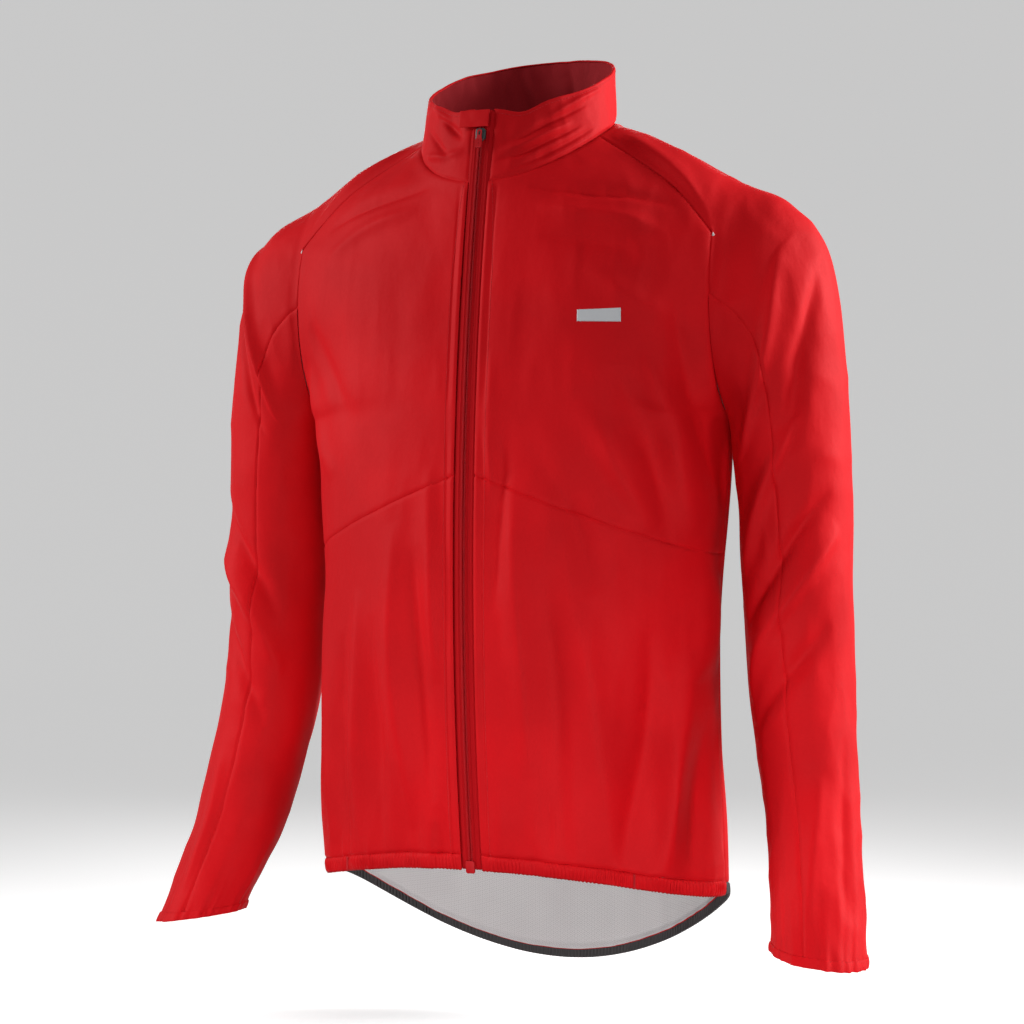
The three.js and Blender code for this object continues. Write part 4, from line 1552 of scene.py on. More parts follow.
# ---- Back ----------------------------------------------------------------------------------
@dataclass
class Back:
    """The back, with its drop tail and the gripper along it."""

    outline: Outline
    grip: float = 11.0 * MM
    folds: tuple = (
        Fold((0.150, -0.200), (0.080, -0.330), 0.014, -3.5 * MM, 0.006),
        Fold((-0.150, -0.190), (-0.070, -0.320), 0.014, -3.5 * MM, -0.006),
        Fold((0.170, -0.240), (0.110, -0.400), 0.012, 4.0 * MM, 0.006, 0.3),
        Fold((-0.175, -0.230), (-0.120, -0.390), 0.012, 4.0 * MM, -0.006, 0.3),
        Fold((0.060, -0.060), (-0.080, -0.070), 0.010, -2.0 * MM, 0.004),
        Fold((0.040, -0.360), (0.055, -0.640), 0.016, 4.0 * MM, 0.006),
        Fold((-0.045, -0.380), (-0.050, -0.660), 0.015, 3.8 * MM, -0.006),
        Fold((0.000, -0.420), (0.004, -0.680), 0.014, -3.0 * MM, 0.004),
        Fold((0.110, -0.420), (0.105, -0.640), 0.013, -3.5 * MM, 0.004),
        Fold((-0.110, -0.430), (-0.100, -0.650), 0.013, -3.2 * MM, 0.004),
        Fold((0.150, -0.440), (0.160, -0.620), 0.011, 3.6 * MM, 0.004),
        Fold((-0.155, -0.430), (-0.150, -0.620), 0.011, 3.6 * MM, 0.004),
        Fold((0.020, -0.100), (0.030, -0.300), 0.020, 2.0 * MM, 0.006),
    )

    def flat(self, u: Array, low: float, high: float, w: Array) -> Array:
        """Points of the back between two heights above the hem; u runs from the left to the right.

        Args:
            u: shares of the way across.
            low: the lower height.
            high: the upper one, or below 0 for the neck seam.
            w: shares of the way up between them.

        Returns:
            The points.
        """
        o = self.outline
        t = np.abs(1 - 2 * u)
        hem = o.hem_height(-1, t)
        bottom = o.share(-1, t, hem + low)
        top = np.full_like(t, 1.999) if high < 0 else o.share(-1, t, hem + high)
        points = o.body(-1, t, lerp(bottom, top, w))
        points[..., 0] *= np.where(u < 0.5, 1, -1)
        return points

    def hung(self, flat: Array, seams: Sequence[str]) -> Grid:
        """A sheet of the back hung as cloth.

        Args:
            flat: its points as the outline has them.
            seams: its sewn sides.

        Returns:
            The sheet with its folds and seams.
        """
        o = self.outline
        away = flat * np.array([1, 1, 0])
        drape = Drape(self.folds, 3.0 * MM, 0.5 * MM, (15.0, 15.0, 5.0), 5)
        lift = drape.lift(flat, flat[..., ::2])
        lift *= o.seam_fade(flat)
        hung = Grid(flat, away).moved(lift).seamed(seams)
        limit = np.maximum(np.abs(flat[..., 0]), o.arm_plane - ARM_CLEAR)
        hung.points[..., 0] = np.clip(hung.points[..., 0], -limit, limit)
        return hung.lapped(seams, 4.0 * MM, 1.5 * MM)

    def build(self) -> None:
        """Makes and dresses the back."""
        step = STEP * 1.15
        u, w = edged(0.50, step)[None, :], edged(0.76, step)[:, None]
        flat = self.flat(u, self.grip + 0.3 * MM, -1.0, w)
        panel = self.hung(flat, ["top", "start", "end", "bottom"])
        piece = panel.mesh("back_cloth")
        dress(piece, SHELL, BACKING)
        thicken(piece, WALL)
        settle(piece, "jacket_body", SHELL, "back_panel", cut=panel.flat_size())
        u = np.linspace(0, 1, 620 if FULL_DETAIL else 200)[None, :]
        w = np.linspace(0, 1, 9)[:, None]
        edge = self.hung(self.flat(u, 0.0, self.grip, w), [])
        arc = edge.arc(1)
        uneven = 1.5 * lattice_noise(np.stack([arc * 60, arc * 0], -1), 51)
        rib = np.sin(arc * (2 * math.pi / (3.6 * MM)) + uneven)
        edge = edge.moved((0.35 * rib + 0.8 * np.sin(math.pi * w) ** 0.5) * MM)
        piece = edge.mesh("tail_elastic")
        dress(piece, ELASTIC)
        thicken(piece, 1.6 * MM)
        settle(piece, "jacket_body", ELASTIC, "tail_gripper", cut=edge.flat_size(), held=Held.GATHERED)


# ---- Collar --------------------------------------------------------------------------------
@dataclass
class Collar:
    """The stand-up collar: its shell, which rolls over the top, and its lining."""

    outline: Outline
    roll: float = 1.5 * MM
    between: float = 2.4 * MM
    folds: tuple = (
        Fold((0.012, 0.018), (0.095, 0.026), 0.0035, -1.8 * MM, 0.002, 0.2),
        Fold((0.014, 0.027), (0.085, 0.035), 0.0045, 1.6 * MM, 0.002),
        Fold((0.020, 0.036), (0.100, 0.048), 0.0040, -1.6 * MM, 0.003, 0.2),
        Fold((0.030, 0.008), (0.110, 0.012), 0.0040, -1.4 * MM, 0.002),
        Fold((0.060, 0.050), (0.120, 0.062), 0.0050, 1.5 * MM, 0.002),
        Fold((0.524, 0.030), (0.470, 0.012), 0.0045, 2.2 * MM, 0.002),
        Fold((0.522, 0.040), (0.488, 0.060), 0.0040, -2.4 * MM, -0.002),
        Fold((0.515, 0.020), (0.465, 0.040), 0.0045, -2.0 * MM, 0.002),
        Fold((0.505, 0.058), (0.470, 0.066), 0.0050, 2.0 * MM, 0.001),
        Fold((0.250, 0.010), (0.262, 0.068), 0.0070, 1.6 * MM, 0.002),
        Fold((0.290, 0.014), (0.300, 0.066), 0.0060, -1.8 * MM, 0.002),
        Fold((0.225, 0.014), (0.215, 0.060), 0.0060, -1.6 * MM, 0.002),
    )

    def flat(self, turn: Array, w: Array) -> Array:
        """Points of the collar, with the front edges' small dips in its rim.

        Args:
            turn: angles round the neck, from the front.
            w: shares of the height.

        Returns:
            The points.
        """
        o = self.outline
        low, high = o.neck_seam(turn), o.collar_rim(turn)
        dip = 8.0 * MM * np.exp(-(((turn - 0.42) / 0.20) ** 2))
        dip = dip + 4.0 * MM * np.exp(-(((turn - 5.9) / 0.16) ** 2))
        soft = 2.0 * MM * lattice_noise(np.stack([np.cos(turn) * 2.2, np.sin(turn) * 2.2], -1), 61)
        high = high - stack(0 * dip, 0 * dip, dip + soft)
        return lerp(low, high, w[..., None] if np.ndim(w) else w)

    def build(self) -> None:
        """Makes and dresses the collar."""
        start = math.asin(ZIP_INSET / self.outline.rim_half)
        turn = lerp(start, 2 * math.pi - start, edged(0.54, STEP * 0.8))[None, :]
        w = edged(0.068, 1.6 * MM if FULL_DETAIL else 3 * MM, (0.6, 1.4))[:, None]
        turn, w = np.broadcast_arrays(turn, w)
        flat = self.flat(turn, w)
        away = flat * np.array([1, 1, 0]) - np.array([0, 0.012, 0])
        chart = np.stack([turn * 0.086, w * 0.068], -1)
        drape = Drape(self.folds, 1.4 * MM, 0.5 * MM, (26.0, 26.0, 14.0), 71)
        grid = Grid(flat, away)
        lift = drape.lift(flat, chart) * smooth(grid.edge_distance(["bottom"]), 0, 9 * MM)
        lift *= smooth(grid.edge_distance(["start", "end"]), -3 * MM, 12 * MM)
        shell = grid.moved(lift)
        outward = shell.normals()
        rim, way = shell.points[-1], outward[-1]
        angles = np.linspace(0, math.pi, 7)[1:, None, None]
        rise = np.array([0, 0, 1]) * np.sin(angles)
        over = rim - way * self.roll * (1 - np.cos(angles)) + self.roll * rise
        sewn = shell.seamed(["bottom", "start", "end"]).points
        under = sewn[:1] - outward[:1] * 1.2 * MM - np.array([0, 0, 4.0 * MM])
        rows = [away[:1], away, np.repeat(away[-1:], 6, 0)]
        rolled = Grid(np.concatenate([under, sewn, over]), np.concatenate(rows))
        piece = rolled.mesh("collar_cloth")
        dress(piece, SHELL, LINING)
        thicken(piece, 0.9 * MM)
        settle(piece, "jacket_body", SHELL, "collar_shell", cut=rolled.flat_size())
        inner = Grid((shell.points - outward * self.between)[:-1], -away[:-1])
        piece = inner.mesh("collar_facing")
        dress(piece, LINING)
        thicken(piece, 0.8 * MM)
        settle(piece, "jacket_body", LINING, "collar_lining", cut=inner.flat_size())
        proud = shell.moved(np.full(lift.shape, PROUD))
        line = proud.points[-4, 4:-4]
        sewn = STITCHES.along("collar_edge_stitch", [line], THREAD)
        settle(sewn, "jacket_body", THREAD)


# ---- Front zip -----------------------------------------------------------------------------
@dataclass
class FrontZip:
    """The full-length zip: tapes, coil, slider, pull, stop, its garage and the flap behind it."""

    outline: Outline

    def on_zip(self, x: Array, z: Array, forward: Array) -> Array:
        """Points beside the zip: across it, at a height, and forward of its curve."""
        o = self.outline
        lean = np.arcsin((z - o.front_bend_z) / o.zip_radius)
        return stack(x, o.zip_y(z) - forward * np.cos(lean), z + forward * np.sin(lean))

    def swept(self, x: Array, forward: Array, top: float, bottom: float, rows: int) -> Grid:
        """A profile across the zip, swept down it."""
        z = np.linspace(bottom, top, rows)[:, None]
        points = self.on_zip(x[None, :], z, forward if np.ndim(forward) == 2 else forward[None, :])
        return Grid(points, np.broadcast_to(np.array([0.0, -1.0, 0.0]), points.shape).copy())

    def slab(
        self, name: str, outline: Sequence[tuple], low: float, high: float, edge: float
    ) -> bpy.types.Object:
        """A flat part on the zip with rounded edges.

        Args:
            name: the piece's name.
            outline: its outline as across and up, in metres.
            low: how far its back lies forward of the zip's curve.
            high: how far its face does.
            edge: the width of its rounded edges.

        Returns:
            The part.
        """
        x, z = (np.array(c) for c in zip(*outline))
        back, face = self.on_zip(x, z, np.full_like(x, low)), self.on_zip(x, z, np.full_like(x, high))
        n = len(outline)
        faces = [list(range(n, 2 * n)), list(range(n))[::-1]]
        faces += [[i, (i + 1) % n, (i + 1) % n + n, i + n] for i in range(n)]
        area = sum(x[i] * z[(i + 1) % n] - x[(i + 1) % n] * z[i] for i in range(n))
        if area < 0:
            faces = [f[::-1] for f in faces]
        made = mesh_object(name, np.concatenate([back, face]), faces)
        round_edges(made, edge)
        return made

    def frame_of(self, left: float, right: float, bottom: float, top: float) -> Sequence[tuple]:
        """The four corners between those edges, in order."""
        return [(left, bottom), (right, bottom), (right, top), (left, top)]

    def tapes(self) -> None:
        """The two woven tapes and their coil."""
        top, bottom = (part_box("zip_half_left")[k][2] for k in (1, 0))
        x = np.concatenate([np.linspace(0.35, 7.6, 22), [8.2, 8.8, 9.4, 10.3]]) * MM
        rib = 0.12 * np.sin(np.arange(22) * 1.6) + 0.45 * np.exp(-(((x[:22] / MM - 1.4) / 1.1) ** 2))
        rib = rib + 0.35 * np.exp(-(((x[:22] / MM - 5.2) / 0.5) ** 2))
        forward = np.concatenate([rib - 0.1, [-0.4, -0.9, -1.35, -1.45]]) * MM
        rows = 260 if FULL_DETAIL else 100
        z = np.linspace(bottom + 1 * MM, top - 1 * MM, rows * 2)
        for side in Side:
            grid = self.swept(x, forward, top, bottom, rows)
            grid = grid if side is Side.LEFT else grid.mirrored()
            piece = grid.mesh(f"zip_tape_{side.label}")
            dress(piece, TAPE)
            thicken(piece, 0.5 * MM)
            cut = grid.flat_size()
            settle(piece, "jacket_body", TAPE, f"zip_half_{side.label}", cut=cut, held=Held.STRETCHED)
            shift = 0.0 if side is Side.LEFT else 0.62 * MM
            path = self.on_zip(np.full_like(z, side.value * 1.35 * MM), z + shift, np.full_like(z, 0.95 * MM))
            coil = COIL.along(f"zip_coil_{side.label}", [path], PLASTIC)
            settle(coil, "jacket_body", PLASTIC)

    def flap(self) -> None:
        """The wind flap behind the zip."""
        top, bottom = (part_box("wind_flap")[k][2] for k in (1, 0))
        x = np.linspace(-16.8, 16.8, 29) * MM
        rows = 170 if FULL_DETAIL else 70
        z = np.linspace(bottom, top, rows)[:, None]
        wave = 0.35 * MM * lattice_noise(np.stack(np.broadcast_arrays(x[None, :] * 120, z * 30), -1), 81)
        forward = -2.25 * MM - x[None, :] ** 2 / (2 * 70 * MM) + wave
        grid = self.swept(x, forward, top, bottom + 1 * MM, rows)
        piece = grid.mesh("wind_flap_cloth")
        dress(piece, SHELL, BACKING)
        thicken(piece, 0.7 * MM)
        settle(piece, "jacket_body", SHELL, "wind_flap", cut=grid.flat_size())

    def garage(self) -> None:
        """The folded garage over the top of the zip."""
        low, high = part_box("zip_garage")
        x = edged(high[0] - low[0], 0.9 * MM, (0.4, 1.0)) * (high[0] - low[0]) + low[0]
        w = edged(high[2] - low[2], 0.9 * MM, (0.4, 1.0))[:, None]
        z = lerp(low[2] + 0.5 * MM, high[2] - 0.5 * MM, w)
        puff = (np.sin(math.pi * (x - x[0]) / (x[-1] - x[0])) ** 0.4)[None, :] * np.sin(math.pi * w) ** 0.4
        crease = 0.35 * MM * lattice_noise(np.stack(np.broadcast_arrays(x[None, :] * 150, z * 130), -1), 91)
        points = self.on_zip(x[None, :], z, 2.35 * MM + 0.75 * MM * puff + crease * puff)
        grid = Grid(points, np.broadcast_to(np.array([0.0, -1.0, 0.0]), points.shape).copy())
        piece = grid.mesh("zip_garage_cloth")
        dress(piece, SHELL)
        thicken(piece, 0.6 * MM)
        settle(piece, "jacket_body", SHELL, "zip_garage", cut=grid.flat_size())

    def hardware(self) -> None:
        """The slider, its pull and the bottom stop."""
        low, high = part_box("zip_slider")
        half, top, bottom = float(high[0]), float(high[2]) - 0.5 * MM, float(low[2]) + 0.5 * MM
        edge = [(0.72, 1), (0.98, 0.9), (1, 0.55), (0.86, 0.2), (0.72, 0)]
        shape = [(-0.72, 1), *edge, *((-x, w) for x, w in edge[:0:-1])]
        outline = [(x * half, lerp(bottom, top, w)) for x, w in shape][::-1]
        roof = self.slab("slider_plate", outline, 2.15 * MM, 3.3 * MM, 0.35 * MM)
        dress(roof, METAL)
        settle(roof, "zip_slider", METAL, "zip_slider")
        for sign in (-1, 1):
            name = f"slider_rail_{'left' if sign > 0 else 'right'}"
            wall = self.frame_of(sign * (half - 1.1 * MM), sign * half, bottom + 2 * MM, top - 1.5 * MM)
            rail = self.slab(name, wall, 0.6 * MM, 2.6 * MM, 0.2 * MM)
            dress(rail, METAL)
            settle(rail, "zip_slider", METAL)
        middle = lerp(bottom, top, 0.6)
        face = self.frame_of(-0.9 * MM, 0.9 * MM, middle - 2.2 * MM, middle + 2.4 * MM)
        crown = self.slab("slider_crown", face, 3.0 * MM, 3.75 * MM, 0.3 * MM)
        dress(crown, METAL)
        settle(crown, "zip_slider", METAL)
        self.pull()
        low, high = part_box("zip_bottom_box")
        wide, top, bottom = float(high[0]), float(high[2]), float(low[2]) + 0.6 * MM
        edge = [
            (wide - 1 * MM, bottom),
            (wide, bottom + 1 * MM),
            (wide, top - 2 * MM),
            (wide - 1.2 * MM, top - 0.7 * MM),
        ]
        shape = [(-edge[1][0], edge[1][1]), (-edge[0][0], edge[0][1]), *edge]
        shape += [(-x, z) for x, z in edge[:1:-1]]
        stop = self.slab("zip_stop", shape, 2.1 * MM, 3.8 * MM, 0.4 * MM)
        dress(stop, PLASTIC)
        settle(stop, "jacket_body", PLASTIC, "zip_bottom_box")

    def pull(self) -> None:
        """The moulded pull: an eye at the top and a ribbed grip."""
        low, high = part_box("pull_tab")
        top, bottom, half = float(high[2]) - 0.6 * MM, float(low[2]) + 0.6 * MM, float(high[0])
        w = np.linspace(0, 1, 61)
        waist = half * (0.72 + 0.28 * smooth(w, 0.35, 0.6))
        waist = waist * (1 - 0.35 * smooth(w, 0.9, 1.0) ** 2) * (0.75 + 0.25 * smooth(w, 0, 0.06))
        z = lerp(top, bottom, w)
        rows = []
        inner = np.where((w > 0.07) & (w < 0.30), waist * 0.45, 0.0)
        thick = 1.0 * MM + 0.22 * MM * (np.sin(w * 70) * (w > 0.5) * (w < 0.92))
        base = 4.15 * MM
        for k in range(len(w)):
            edge = waist[k]
            hole = max(inner[k], 0.02 * MM)
            rows.append(self.frame_of(-edge, -hole, 0, 1) + self.frame_of(hole, edge, 0, 1))
        points, faces = [], []
        for k, row in enumerate(rows):
            for x, face in row:
                points.append(self.on_zip(np.array(x), np.array(z[k]), np.array(base + face * thick[k])))
        for k in range(len(rows) - 1):
            a, b = k * 8, k * 8 + 8
            for first in (0, 4):
                for i in range(4):
                    j = (i + 1) % 4
                    faces.append([a + first + i, b + first + i, b + first + j, a + first + j])
        last = (len(rows) - 1) * 8
        for first in (0, 4):
            faces.append([first, first + 1, first + 2, first + 3])
            faces.append([last + first + 3, last + first + 2, last + first + 1, last + first])
        made = mesh_object("pull_grip", np.array(points), faces)
        made.data.polygons.foreach_set("use_smooth", [False] * len(made.data.polygons))
        round_edges(made, 0.12 * MM, 2)
        dress(made, PLASTIC)
        settle(made, "pull_tab", PLASTIC, "pull_tab")

    def build(self) -> None:
        """Makes and dresses the zip."""
        self.tapes()
        self.flap()
        self.garage()
        self.hardware()


# ---- Hanger loop ---------------------------------------------------------------------------
@dataclass
class HangerLoop:
    """The tape loop inside the back neck."""

    tape: float = 4.6 * MM
    wall: float = 1.0 * MM

    def build(self) -> None:
        """Makes and dresses the loop."""
        low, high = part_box("hanger_loop")
        half, top, drop = float(high[0]), float(high[2]), float(high[2] - low[2])
        angle = np.linspace(0, math.pi, 90)[:, None]
        share = np.linspace(0, 1, 7)[None, :]
        reach = half - self.tape * share
        fall = drop - self.tape * share
        end = np.abs(np.cos(angle)) ** 24
        y = lerp(float(low[1]) + 0.1 * MM, float(high[1]) - self.wall - 0.3 * MM, end)
        points = stack(reach * np.cos(angle), y, top - fall * np.sin(angle))
        grid = Grid(points, np.broadcast_to(np.array([0.0, -1.0, 0.0]), points.shape).copy())
        piece = grid.mesh("hanger_tape")
        dress(piece, LOOP_TAPE)
        thicken(piece, self.wall)
        settle(piece, "hanger_loop", LOOP_TAPE, "hanger_loop")


# ---- Sleeves -------------------------------------------------------------------------------
@dataclass
class Sleeves:
    """The raglan sleeves: each top runs from the neck to the cuff in one piece of cloth."""

    outline: Outline
    cuff: float = 12.0 * MM
    tuck: float = 4.0 * MM
    run: float = 0.690
    around: float = 2 * math.pi * 0.052
    bend_start: float = 0.318
    bend_length: float = 0.110
    shoulder_folds: tuple = (
        Fold((0.105, 0.000), (0.190, -0.030), 0.008, 2.2 * MM, 0.003),
        Fold((0.120, 0.030), (0.200, 0.020), 0.010, -1.8 * MM, 0.003),
    )
    folds: dict = field(
        default_factory=lambda: {
            Side.LEFT: (
                Fold((-0.060, 0.300), (-0.130, 0.400), 0.012, 4.5 * MM, 0.006, 0.3),
                Fold((-0.030, 0.380), (-0.125, 0.450), 0.011, -4.5 * MM, 0.006),
                Fold((-0.020, 0.410), (-0.130, 0.500), 0.011, 5.0 * MM, 0.008, 0.3),
                Fold((-0.030, 0.470), (-0.120, 0.520), 0.010, -4.0 * MM, 0.004),
                Fold((-0.040, 0.120), (-0.110, 0.260), 0.014, 3.5 * MM, 0.008),
                Fold((-0.010, 0.180), (-0.070, 0.330), 0.013, -3.2 * MM, 0.006),
                Fold((-0.050, 0.560), (-0.080, 0.660), 0.010, 3.0 * MM, 0.004),
                Fold((-0.020, 0.540), (-0.030, 0.650), 0.010, -2.6 * MM, 0.003),
            ),
            Side.RIGHT: (
                Fold((-0.010, 0.130), (-0.100, 0.220), 0.011, 4.5 * MM, 0.006, 0.3),
                Fold((0.000, 0.190), (-0.090, 0.270), 0.010, -3.6 * MM, 0.006),
                Fold((-0.020, 0.390), (-0.110, 0.450), 0.011, -4.2 * MM, 0.004),
                Fold((-0.010, 0.420), (-0.120, 0.490), 0.011, 4.8 * MM, 0.006, 0.3),
                Fold((-0.010, 0.470), (-0.110, 0.530), 0.010, -4.0 * MM, 0.004),
                Fold((-0.060, 0.560), (-0.070, 0.660), 0.010, 3.0 * MM, 0.004),
            ),
        }
    )

    def slack(self, side: Side) -> Drape:
        """The loose unevenness of one sleeve, without its folds."""
        return Drape((), 2.6 * MM, 0.7 * MM, (15.0, 15.0, 9.0), 15 if side is Side.LEFT else 25)

    def cuff_share(self) -> float:
        """The share of the sleeve's length at which the cuff begins."""
        return 1 - self.cuff / self.run

    def end_share(self) -> float:
        """The share at which the sleeve's own cloth ends, under the cuff."""
        return 1 - (self.cuff - self.tuck) / self.run

    def lift(self, points: Array, turn: Array, w: Array, side: Side) -> Array:
        """The lift of points on the sleeve, from its own chart of turn and length.

        Args:
            points: places on the left sleeve.
            turn: their angles round it.
            w: their shares of its length.
            side: which sleeve.

        Returns:
            The lift of each point, in metres.
        """
        chart = np.stack(np.broadcast_arrays(turn * 0.052, w * self.run), -1)
        total = self.slack(side).lift(points * np.array([side.value, 1, 1]), chart)
        for shift in (-self.around, 0.0, self.around):
            for fold in self.folds[side]:
                total = total + fold.lift(chart + np.array([shift, 0.0]))
        gather = np.exp(-(1 - w) * self.run / 0.035)
        pleat = lattice_noise(np.stack([np.cos(turn) * 9, np.sin(turn) * 9, w * 12 + side.value], -1), 33)
        return (total + 2.4 * MM * gather * pleat) * (0.25 + 0.75 * smooth(w, 0.0, 0.05))

    def top(self, side: Side) -> Grid:
        """The sleeve's top with the raglan's shoulder, from the neck to the cuff.

        Args:
            side: which sleeve.

        Returns:
            The hung sheet.
        """
        o = self.outline
        u = edged(0.17, STEP)
        swing = math.radians(60)
        cap_w = edged(0.12, STEP)[:-1]
        angle = lerp(-swing, swing, u)[None, :]
        w = cap_w[:, None]
        cap = o.shoulder(*np.broadcast_arrays(u[None, :], w))
        pull = smooth(w, 0.25, 1.0)[..., None]
        ones = np.ones((1, len(u)))
        cap = cap + (o.armhole(angle) - o.shoulder(u[None, :], ones)) * pull
        count = int(self.run / STEP)
        wc = np.linspace(0, self.end_share(), count)[:, None]
        half = np.radians(60 + 30 * smooth(wc, 0, 0.09))
        side_w = np.where(wc < 0.35, np.maximum(wc - 0.09, 0) * 0.35 / 0.26, wc)
        bow = np.abs(2 * u[None, :] - 1) ** 3
        ws = lerp(wc, side_w, bow)
        turn = half * (1 - 2 * u[None, :])
        sleeve = o.sleeve(turn, ws)
        points = np.concatenate([cap, sleeve])
        points = self.eased(points)
        drop = np.clip(ws * 8, 0, 1)[..., None]
        centre = lerp(stack(0.05 + 0 * ws, 0.02 + 0 * ws, -0.14 + 0 * ws), self.core(ws), drop)
        away = points - np.concatenate([np.broadcast_to(np.array([0.05, 0.02, -0.14]), cap.shape), centre])
        grid = Grid(points, away)
        flat_turn = np.concatenate([np.broadcast_to(-angle, cap.shape[:2]), turn])
        flat_w = np.concatenate([np.zeros(cap.shape[:2]), ws])
        lift = self.lift(points, flat_turn, flat_w, side)
        shoulder = Drape(self.shoulder_folds, 1.6 * MM, 0.3 * MM, (16, 16, 10), 35)
        chart = np.stack([points[..., 0], points[..., 1]], -1)
        above = 1 - smooth(flat_w, 0, 0.08)
        over = shoulder.lift(points * np.array([side.value, 1, 1]), chart)
        lift = lift * (1 - above) + over * above
        lift *= o.seam_fade(points)
        hung = grid.moved(lift).seamed(["start", "end", "bottom"]).lapped(["start", "end"])
        return hung if side is Side.LEFT else hung.mirrored()

    def core(self, w: Array) -> Array:
        """The middle of the sleeve's tube."""
        o = self.outline
        x = o.arm_plane + (o.station("out", w) + o.station("in", w)) / 2
        out_z, in_z = o.shoulder_z - o.station("out_fall", w), o.armpit_z - o.station("in_fall", w)
        return stack(x, o.station("y", w), (out_z + in_z) / 2)

    def eased(self, points: Array) -> Array:
        """Smooths the cloth where the shoulder runs into the arm, and keeps its edges."""
        near = 1 - smooth(np.abs(points[..., 0] - self.outline.arm_plane), 12 * MM, 45 * MM)
        near = near * (points[..., 2] > -0.20)
        return level(points, near[1:-1, 1:-1, None], int(60 * (2.6 * MM / STEP) ** 2))

    def under(self, side: Side) -> Grid:
        """The sleeve's underside, from the armpit to the cuff.

        Args:
            side: which sleeve.

        Returns:
            The hung sheet.
        """
        o = self.outline
        turn = (math.pi + math.radians(90) * (1 - 2 * edged(0.16, STEP)))[None, :]
        even = np.linspace(0.006, self.end_share(), int(self.run / STEP))
        w = np.concatenate([[0, 0.0012, 0.003], even])[:, None]
        turn, w = np.broadcast_arrays(turn, w)
        points = o.sleeve(turn, w)
        away = points - self.core(w)
        grid = Grid(points, away)
        lift = self.lift(points, turn, w, side)
        lift *= o.seam_fade(points)
        hung = grid.moved(lift).seamed(["start", "end"])
        limit = o.arm_plane + ARM_CLEAR * smooth(w, 0, 0.01)
        hung.points[..., 0] = np.maximum(hung.points[..., 0], limit)
        hung = hung.lapped(["start", "end"])
        return hung if side is Side.LEFT else hung.mirrored()

    def cuff_ring(self, side: Side) -> Grid:
        """The turned and sewn cuff.

        Args:
            side: which sleeve.

        Returns:
            The ring, whose last column meets its first.
        """
        o = self.outline
        turn = np.linspace(0, -2 * math.pi, 150 if FULL_DETAIL else 70, endpoint=False)[None, :]
        rise = np.array([0, 0.3, 0.8, 2.0, 4.0, 6.0, 8.0, 10.0, 11.2, 11.8])[:, None] / 12
        w = lerp(self.cuff_share(), 1.0, rise)
        turn, w = np.broadcast_arrays(turn, w)
        points = o.sleeve(turn, w)
        lift = self.lift(points, turn, w, side) + 0.9 * MM
        lift += 0.6 * MM * np.sin(math.pi * np.clip(rise, 0, 1)) ** 0.5
        grid = Grid(points, points - self.core(w))
        normal = unit(points - self.core(w))
        moved = Grid(points + normal * lift[..., None], grid.away)
        return moved if side is Side.LEFT else moved.mirrored()

    def bend(self, piece: bpy.types.Object, side: Side) -> None:
        """Works out where the bend between the body and its sleeve would start and end, without using it, and
        bakes the piece's placement into its mesh.
        """
        way = np.array([side.value, 0, -1]) / math.sqrt(2)
        start, end = way * self.bend_start, way * (self.bend_start + self.bend_length)
        f"sleeve_{side.label}"
        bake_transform(piece)

    def build(self) -> None:
        """Makes and dresses both sleeves."""
        for side in Side:
            label = side.label
            top, under, cuff = self.top(side), self.under(side), self.cuff_ring(side)
            piece = top.mesh(f"raglan_sleeve_{label}")
            dress(piece, SHELL, BACKING)
            self.bend(piece, side)
            thicken(piece, WALL)
            settle(piece, "", SHELL, f"sleeve_top_{label}", f"raglan_cap_{label}", cut=top.flat_size())
            piece = under.mesh(f"under_sleeve_{label}")
            dress(piece, SHELL, BACKING)
            self.bend(piece, side)
            thicken(piece, WALL)
            settle(piece, "", SHELL, f"sleeve_under_{label}", cut=under.flat_size())
            piece = cuff.mesh(f"cuff_ring_{label}", closed=True)
            dress(piece, SHELL, BACKING)
            thicken(piece, 1.4 * MM)
            settle(piece, f"sleeve_{label}", SHELL, f"cuff_{label}", cut=cuff.flat_size())


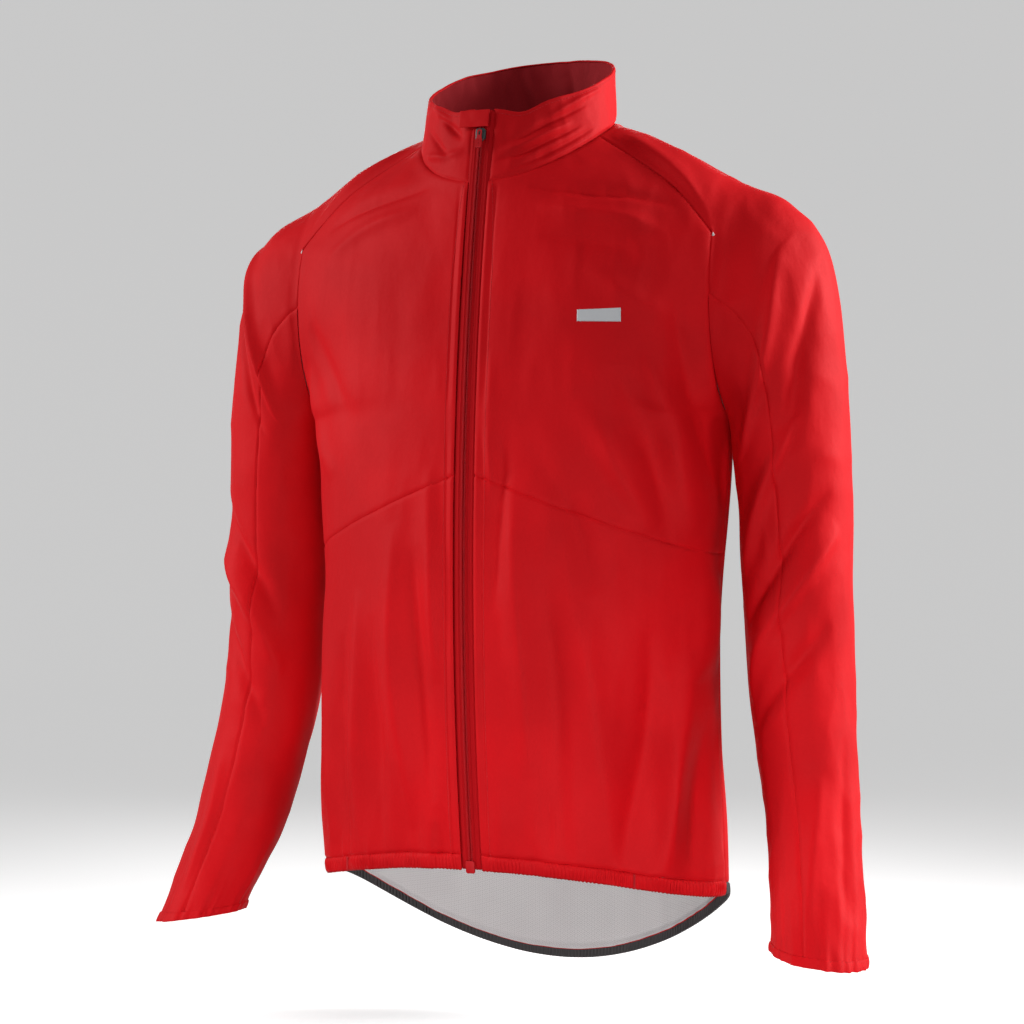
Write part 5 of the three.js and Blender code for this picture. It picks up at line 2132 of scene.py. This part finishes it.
# ---- Studio --------------------------------------------------------------------------------
@dataclass
class Studio:
    """The camera, the lights and the pale floor."""

    azimuth: float = 24.0
    distance: float = 2.4
    lens: float = 93.75
    aim: tuple = (-0.003, 0.0, -0.331)
    eye_height: float = -0.320
    floor: float = -0.80
    glow: float = 0.45

    def camera(self) -> None:
        """Makes the camera."""
        turn = math.radians(self.azimuth)
        data = bpy.data.cameras.new("camera")
        data.lens, data.sensor_width = self.lens, 36.0
        data.clip_end = 30
        made = bpy.data.objects.new("camera", data)
        bpy.context.scene.collection.objects.link(made)
        eye = Vector((math.sin(turn) * self.distance, -math.cos(turn) * self.distance, self.eye_height))
        made.location = eye
        made.rotation_euler = (Vector(self.aim) - eye).to_track_quat("-Z", "Y").to_euler()
        bpy.context.scene.camera = made

    def light(
        self,
        name: str,
        azimuth: float,
        height: float,
        distance: float,
        size: tuple,
        power: float,
        target: tuple = (0.0, 0.0, -0.35),
    ) -> None:
        """Makes one soft light, aimed at the jacket.

        Args:
            name: the light's name.
            azimuth: where it stands, in degrees, as the camera's is.
            height: its height above the jacket's middle.
            distance: how far off it stands.
            size: its width and height.
            power: its strength in watts.
            target: what it points at.
        """
        data = bpy.data.lights.new(name, "AREA")
        data.shape, data.size, data.size_y, data.energy = "RECTANGLE", size[0], size[1], power
        data.spread = math.radians(80)
        made = bpy.data.objects.new(name, data)
        bpy.context.scene.collection.objects.link(made)
        turn = math.radians(azimuth)
        spot = Vector((math.sin(turn) * distance, -math.cos(turn) * distance, -0.35 + height))
        made.location = spot
        made.rotation_euler = (Vector(target) - spot).to_track_quat("-Z", "Y").to_euler()

    def backdrop(self) -> None:
        """Makes the pale floor, which curves up into a low wall all round."""
        profile = [(0.0005, 0.0), (1.5, 0.0), (3.0, 0.0), (4.0, 0.0)]
        bend = np.linspace(0, math.pi / 2, 16)[1:]
        profile += [(4.0 + 2.0 * math.sin(a), 2.0 * (1 - math.cos(a))) for a in bend] + [(6.0, 3.5)]
        turn = np.linspace(0, 2 * math.pi, 96, endpoint=False)[None, :]
        radius, height = (np.array(c)[:, None] for c in zip(*profile))
        points = stack(radius * np.cos(turn), radius * np.sin(turn), self.floor + height + 0 * turn)
        inward = np.array([0, 0, 1.0]) - points * np.array([1, 1, 0])
        made = Grid(points, inward).mesh("studio_floor", closed=True)
        s = Shader("studio_paper")
        tone = s.mix(s.noise(1.2, 2.0), (0.86, 0.86, 0.86, 1), (0.83, 0.83, 0.83, 1))
        made.data.materials.append(
            s.surface(
                {
                    "Base Color": tone,
                    "Roughness": 0.9,
                    "Specular IOR Level": 0.1,
                    "Emission Color": (1.0, 1.0, 1.0, 1.0),
                    "Emission Strength": self.glow,
                }
            )
        )
        made.visible_diffuse = False

    def build(self) -> None:
        """Sets up the studio."""
        self.camera()
        self.backdrop()
        self.light("key", -66, 0.75, 2.0, (0.7, 1.4), 8.0)
        self.light("side", 120, 0.75, 1.9, (0.6, 1.4), 14)
        self.light("fill", 62, 1.3, 2.6, (0.5, 0.7), 3.4)
        self.light("back", 205, 1.0, 2.4, (1.2, 1.0), 5)
        self.light("low", 24, -0.36, 1.25, (1.3, 0.12), 2.9, (0.0, 0.08, -0.66))
        world = bpy.data.worlds.new("studio_air")
        world.use_nodes = True
        world.node_tree.nodes["Background"].inputs[0].default_value = (1, 1, 1, 1)
        world.node_tree.nodes["Background"].inputs[1].default_value = 0.14
        bpy.context.scene.world = world
        bpy.context.scene.view_settings.view_transform = "Standard"


def main() -> None:
    """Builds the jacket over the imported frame."""
    logging.basicConfig(level=logging.INFO, format="%(name)s: %(message)s")
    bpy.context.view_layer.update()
    outline = Outline.from_frame()
    Studio().build()
    Fronts(outline).build()
    Back(outline).build()
    Collar(outline).build()
    FrontZip(outline).build()
    HangerLoop().build()
    Sleeves(outline).build()


if __name__ == "__main__":
    main()
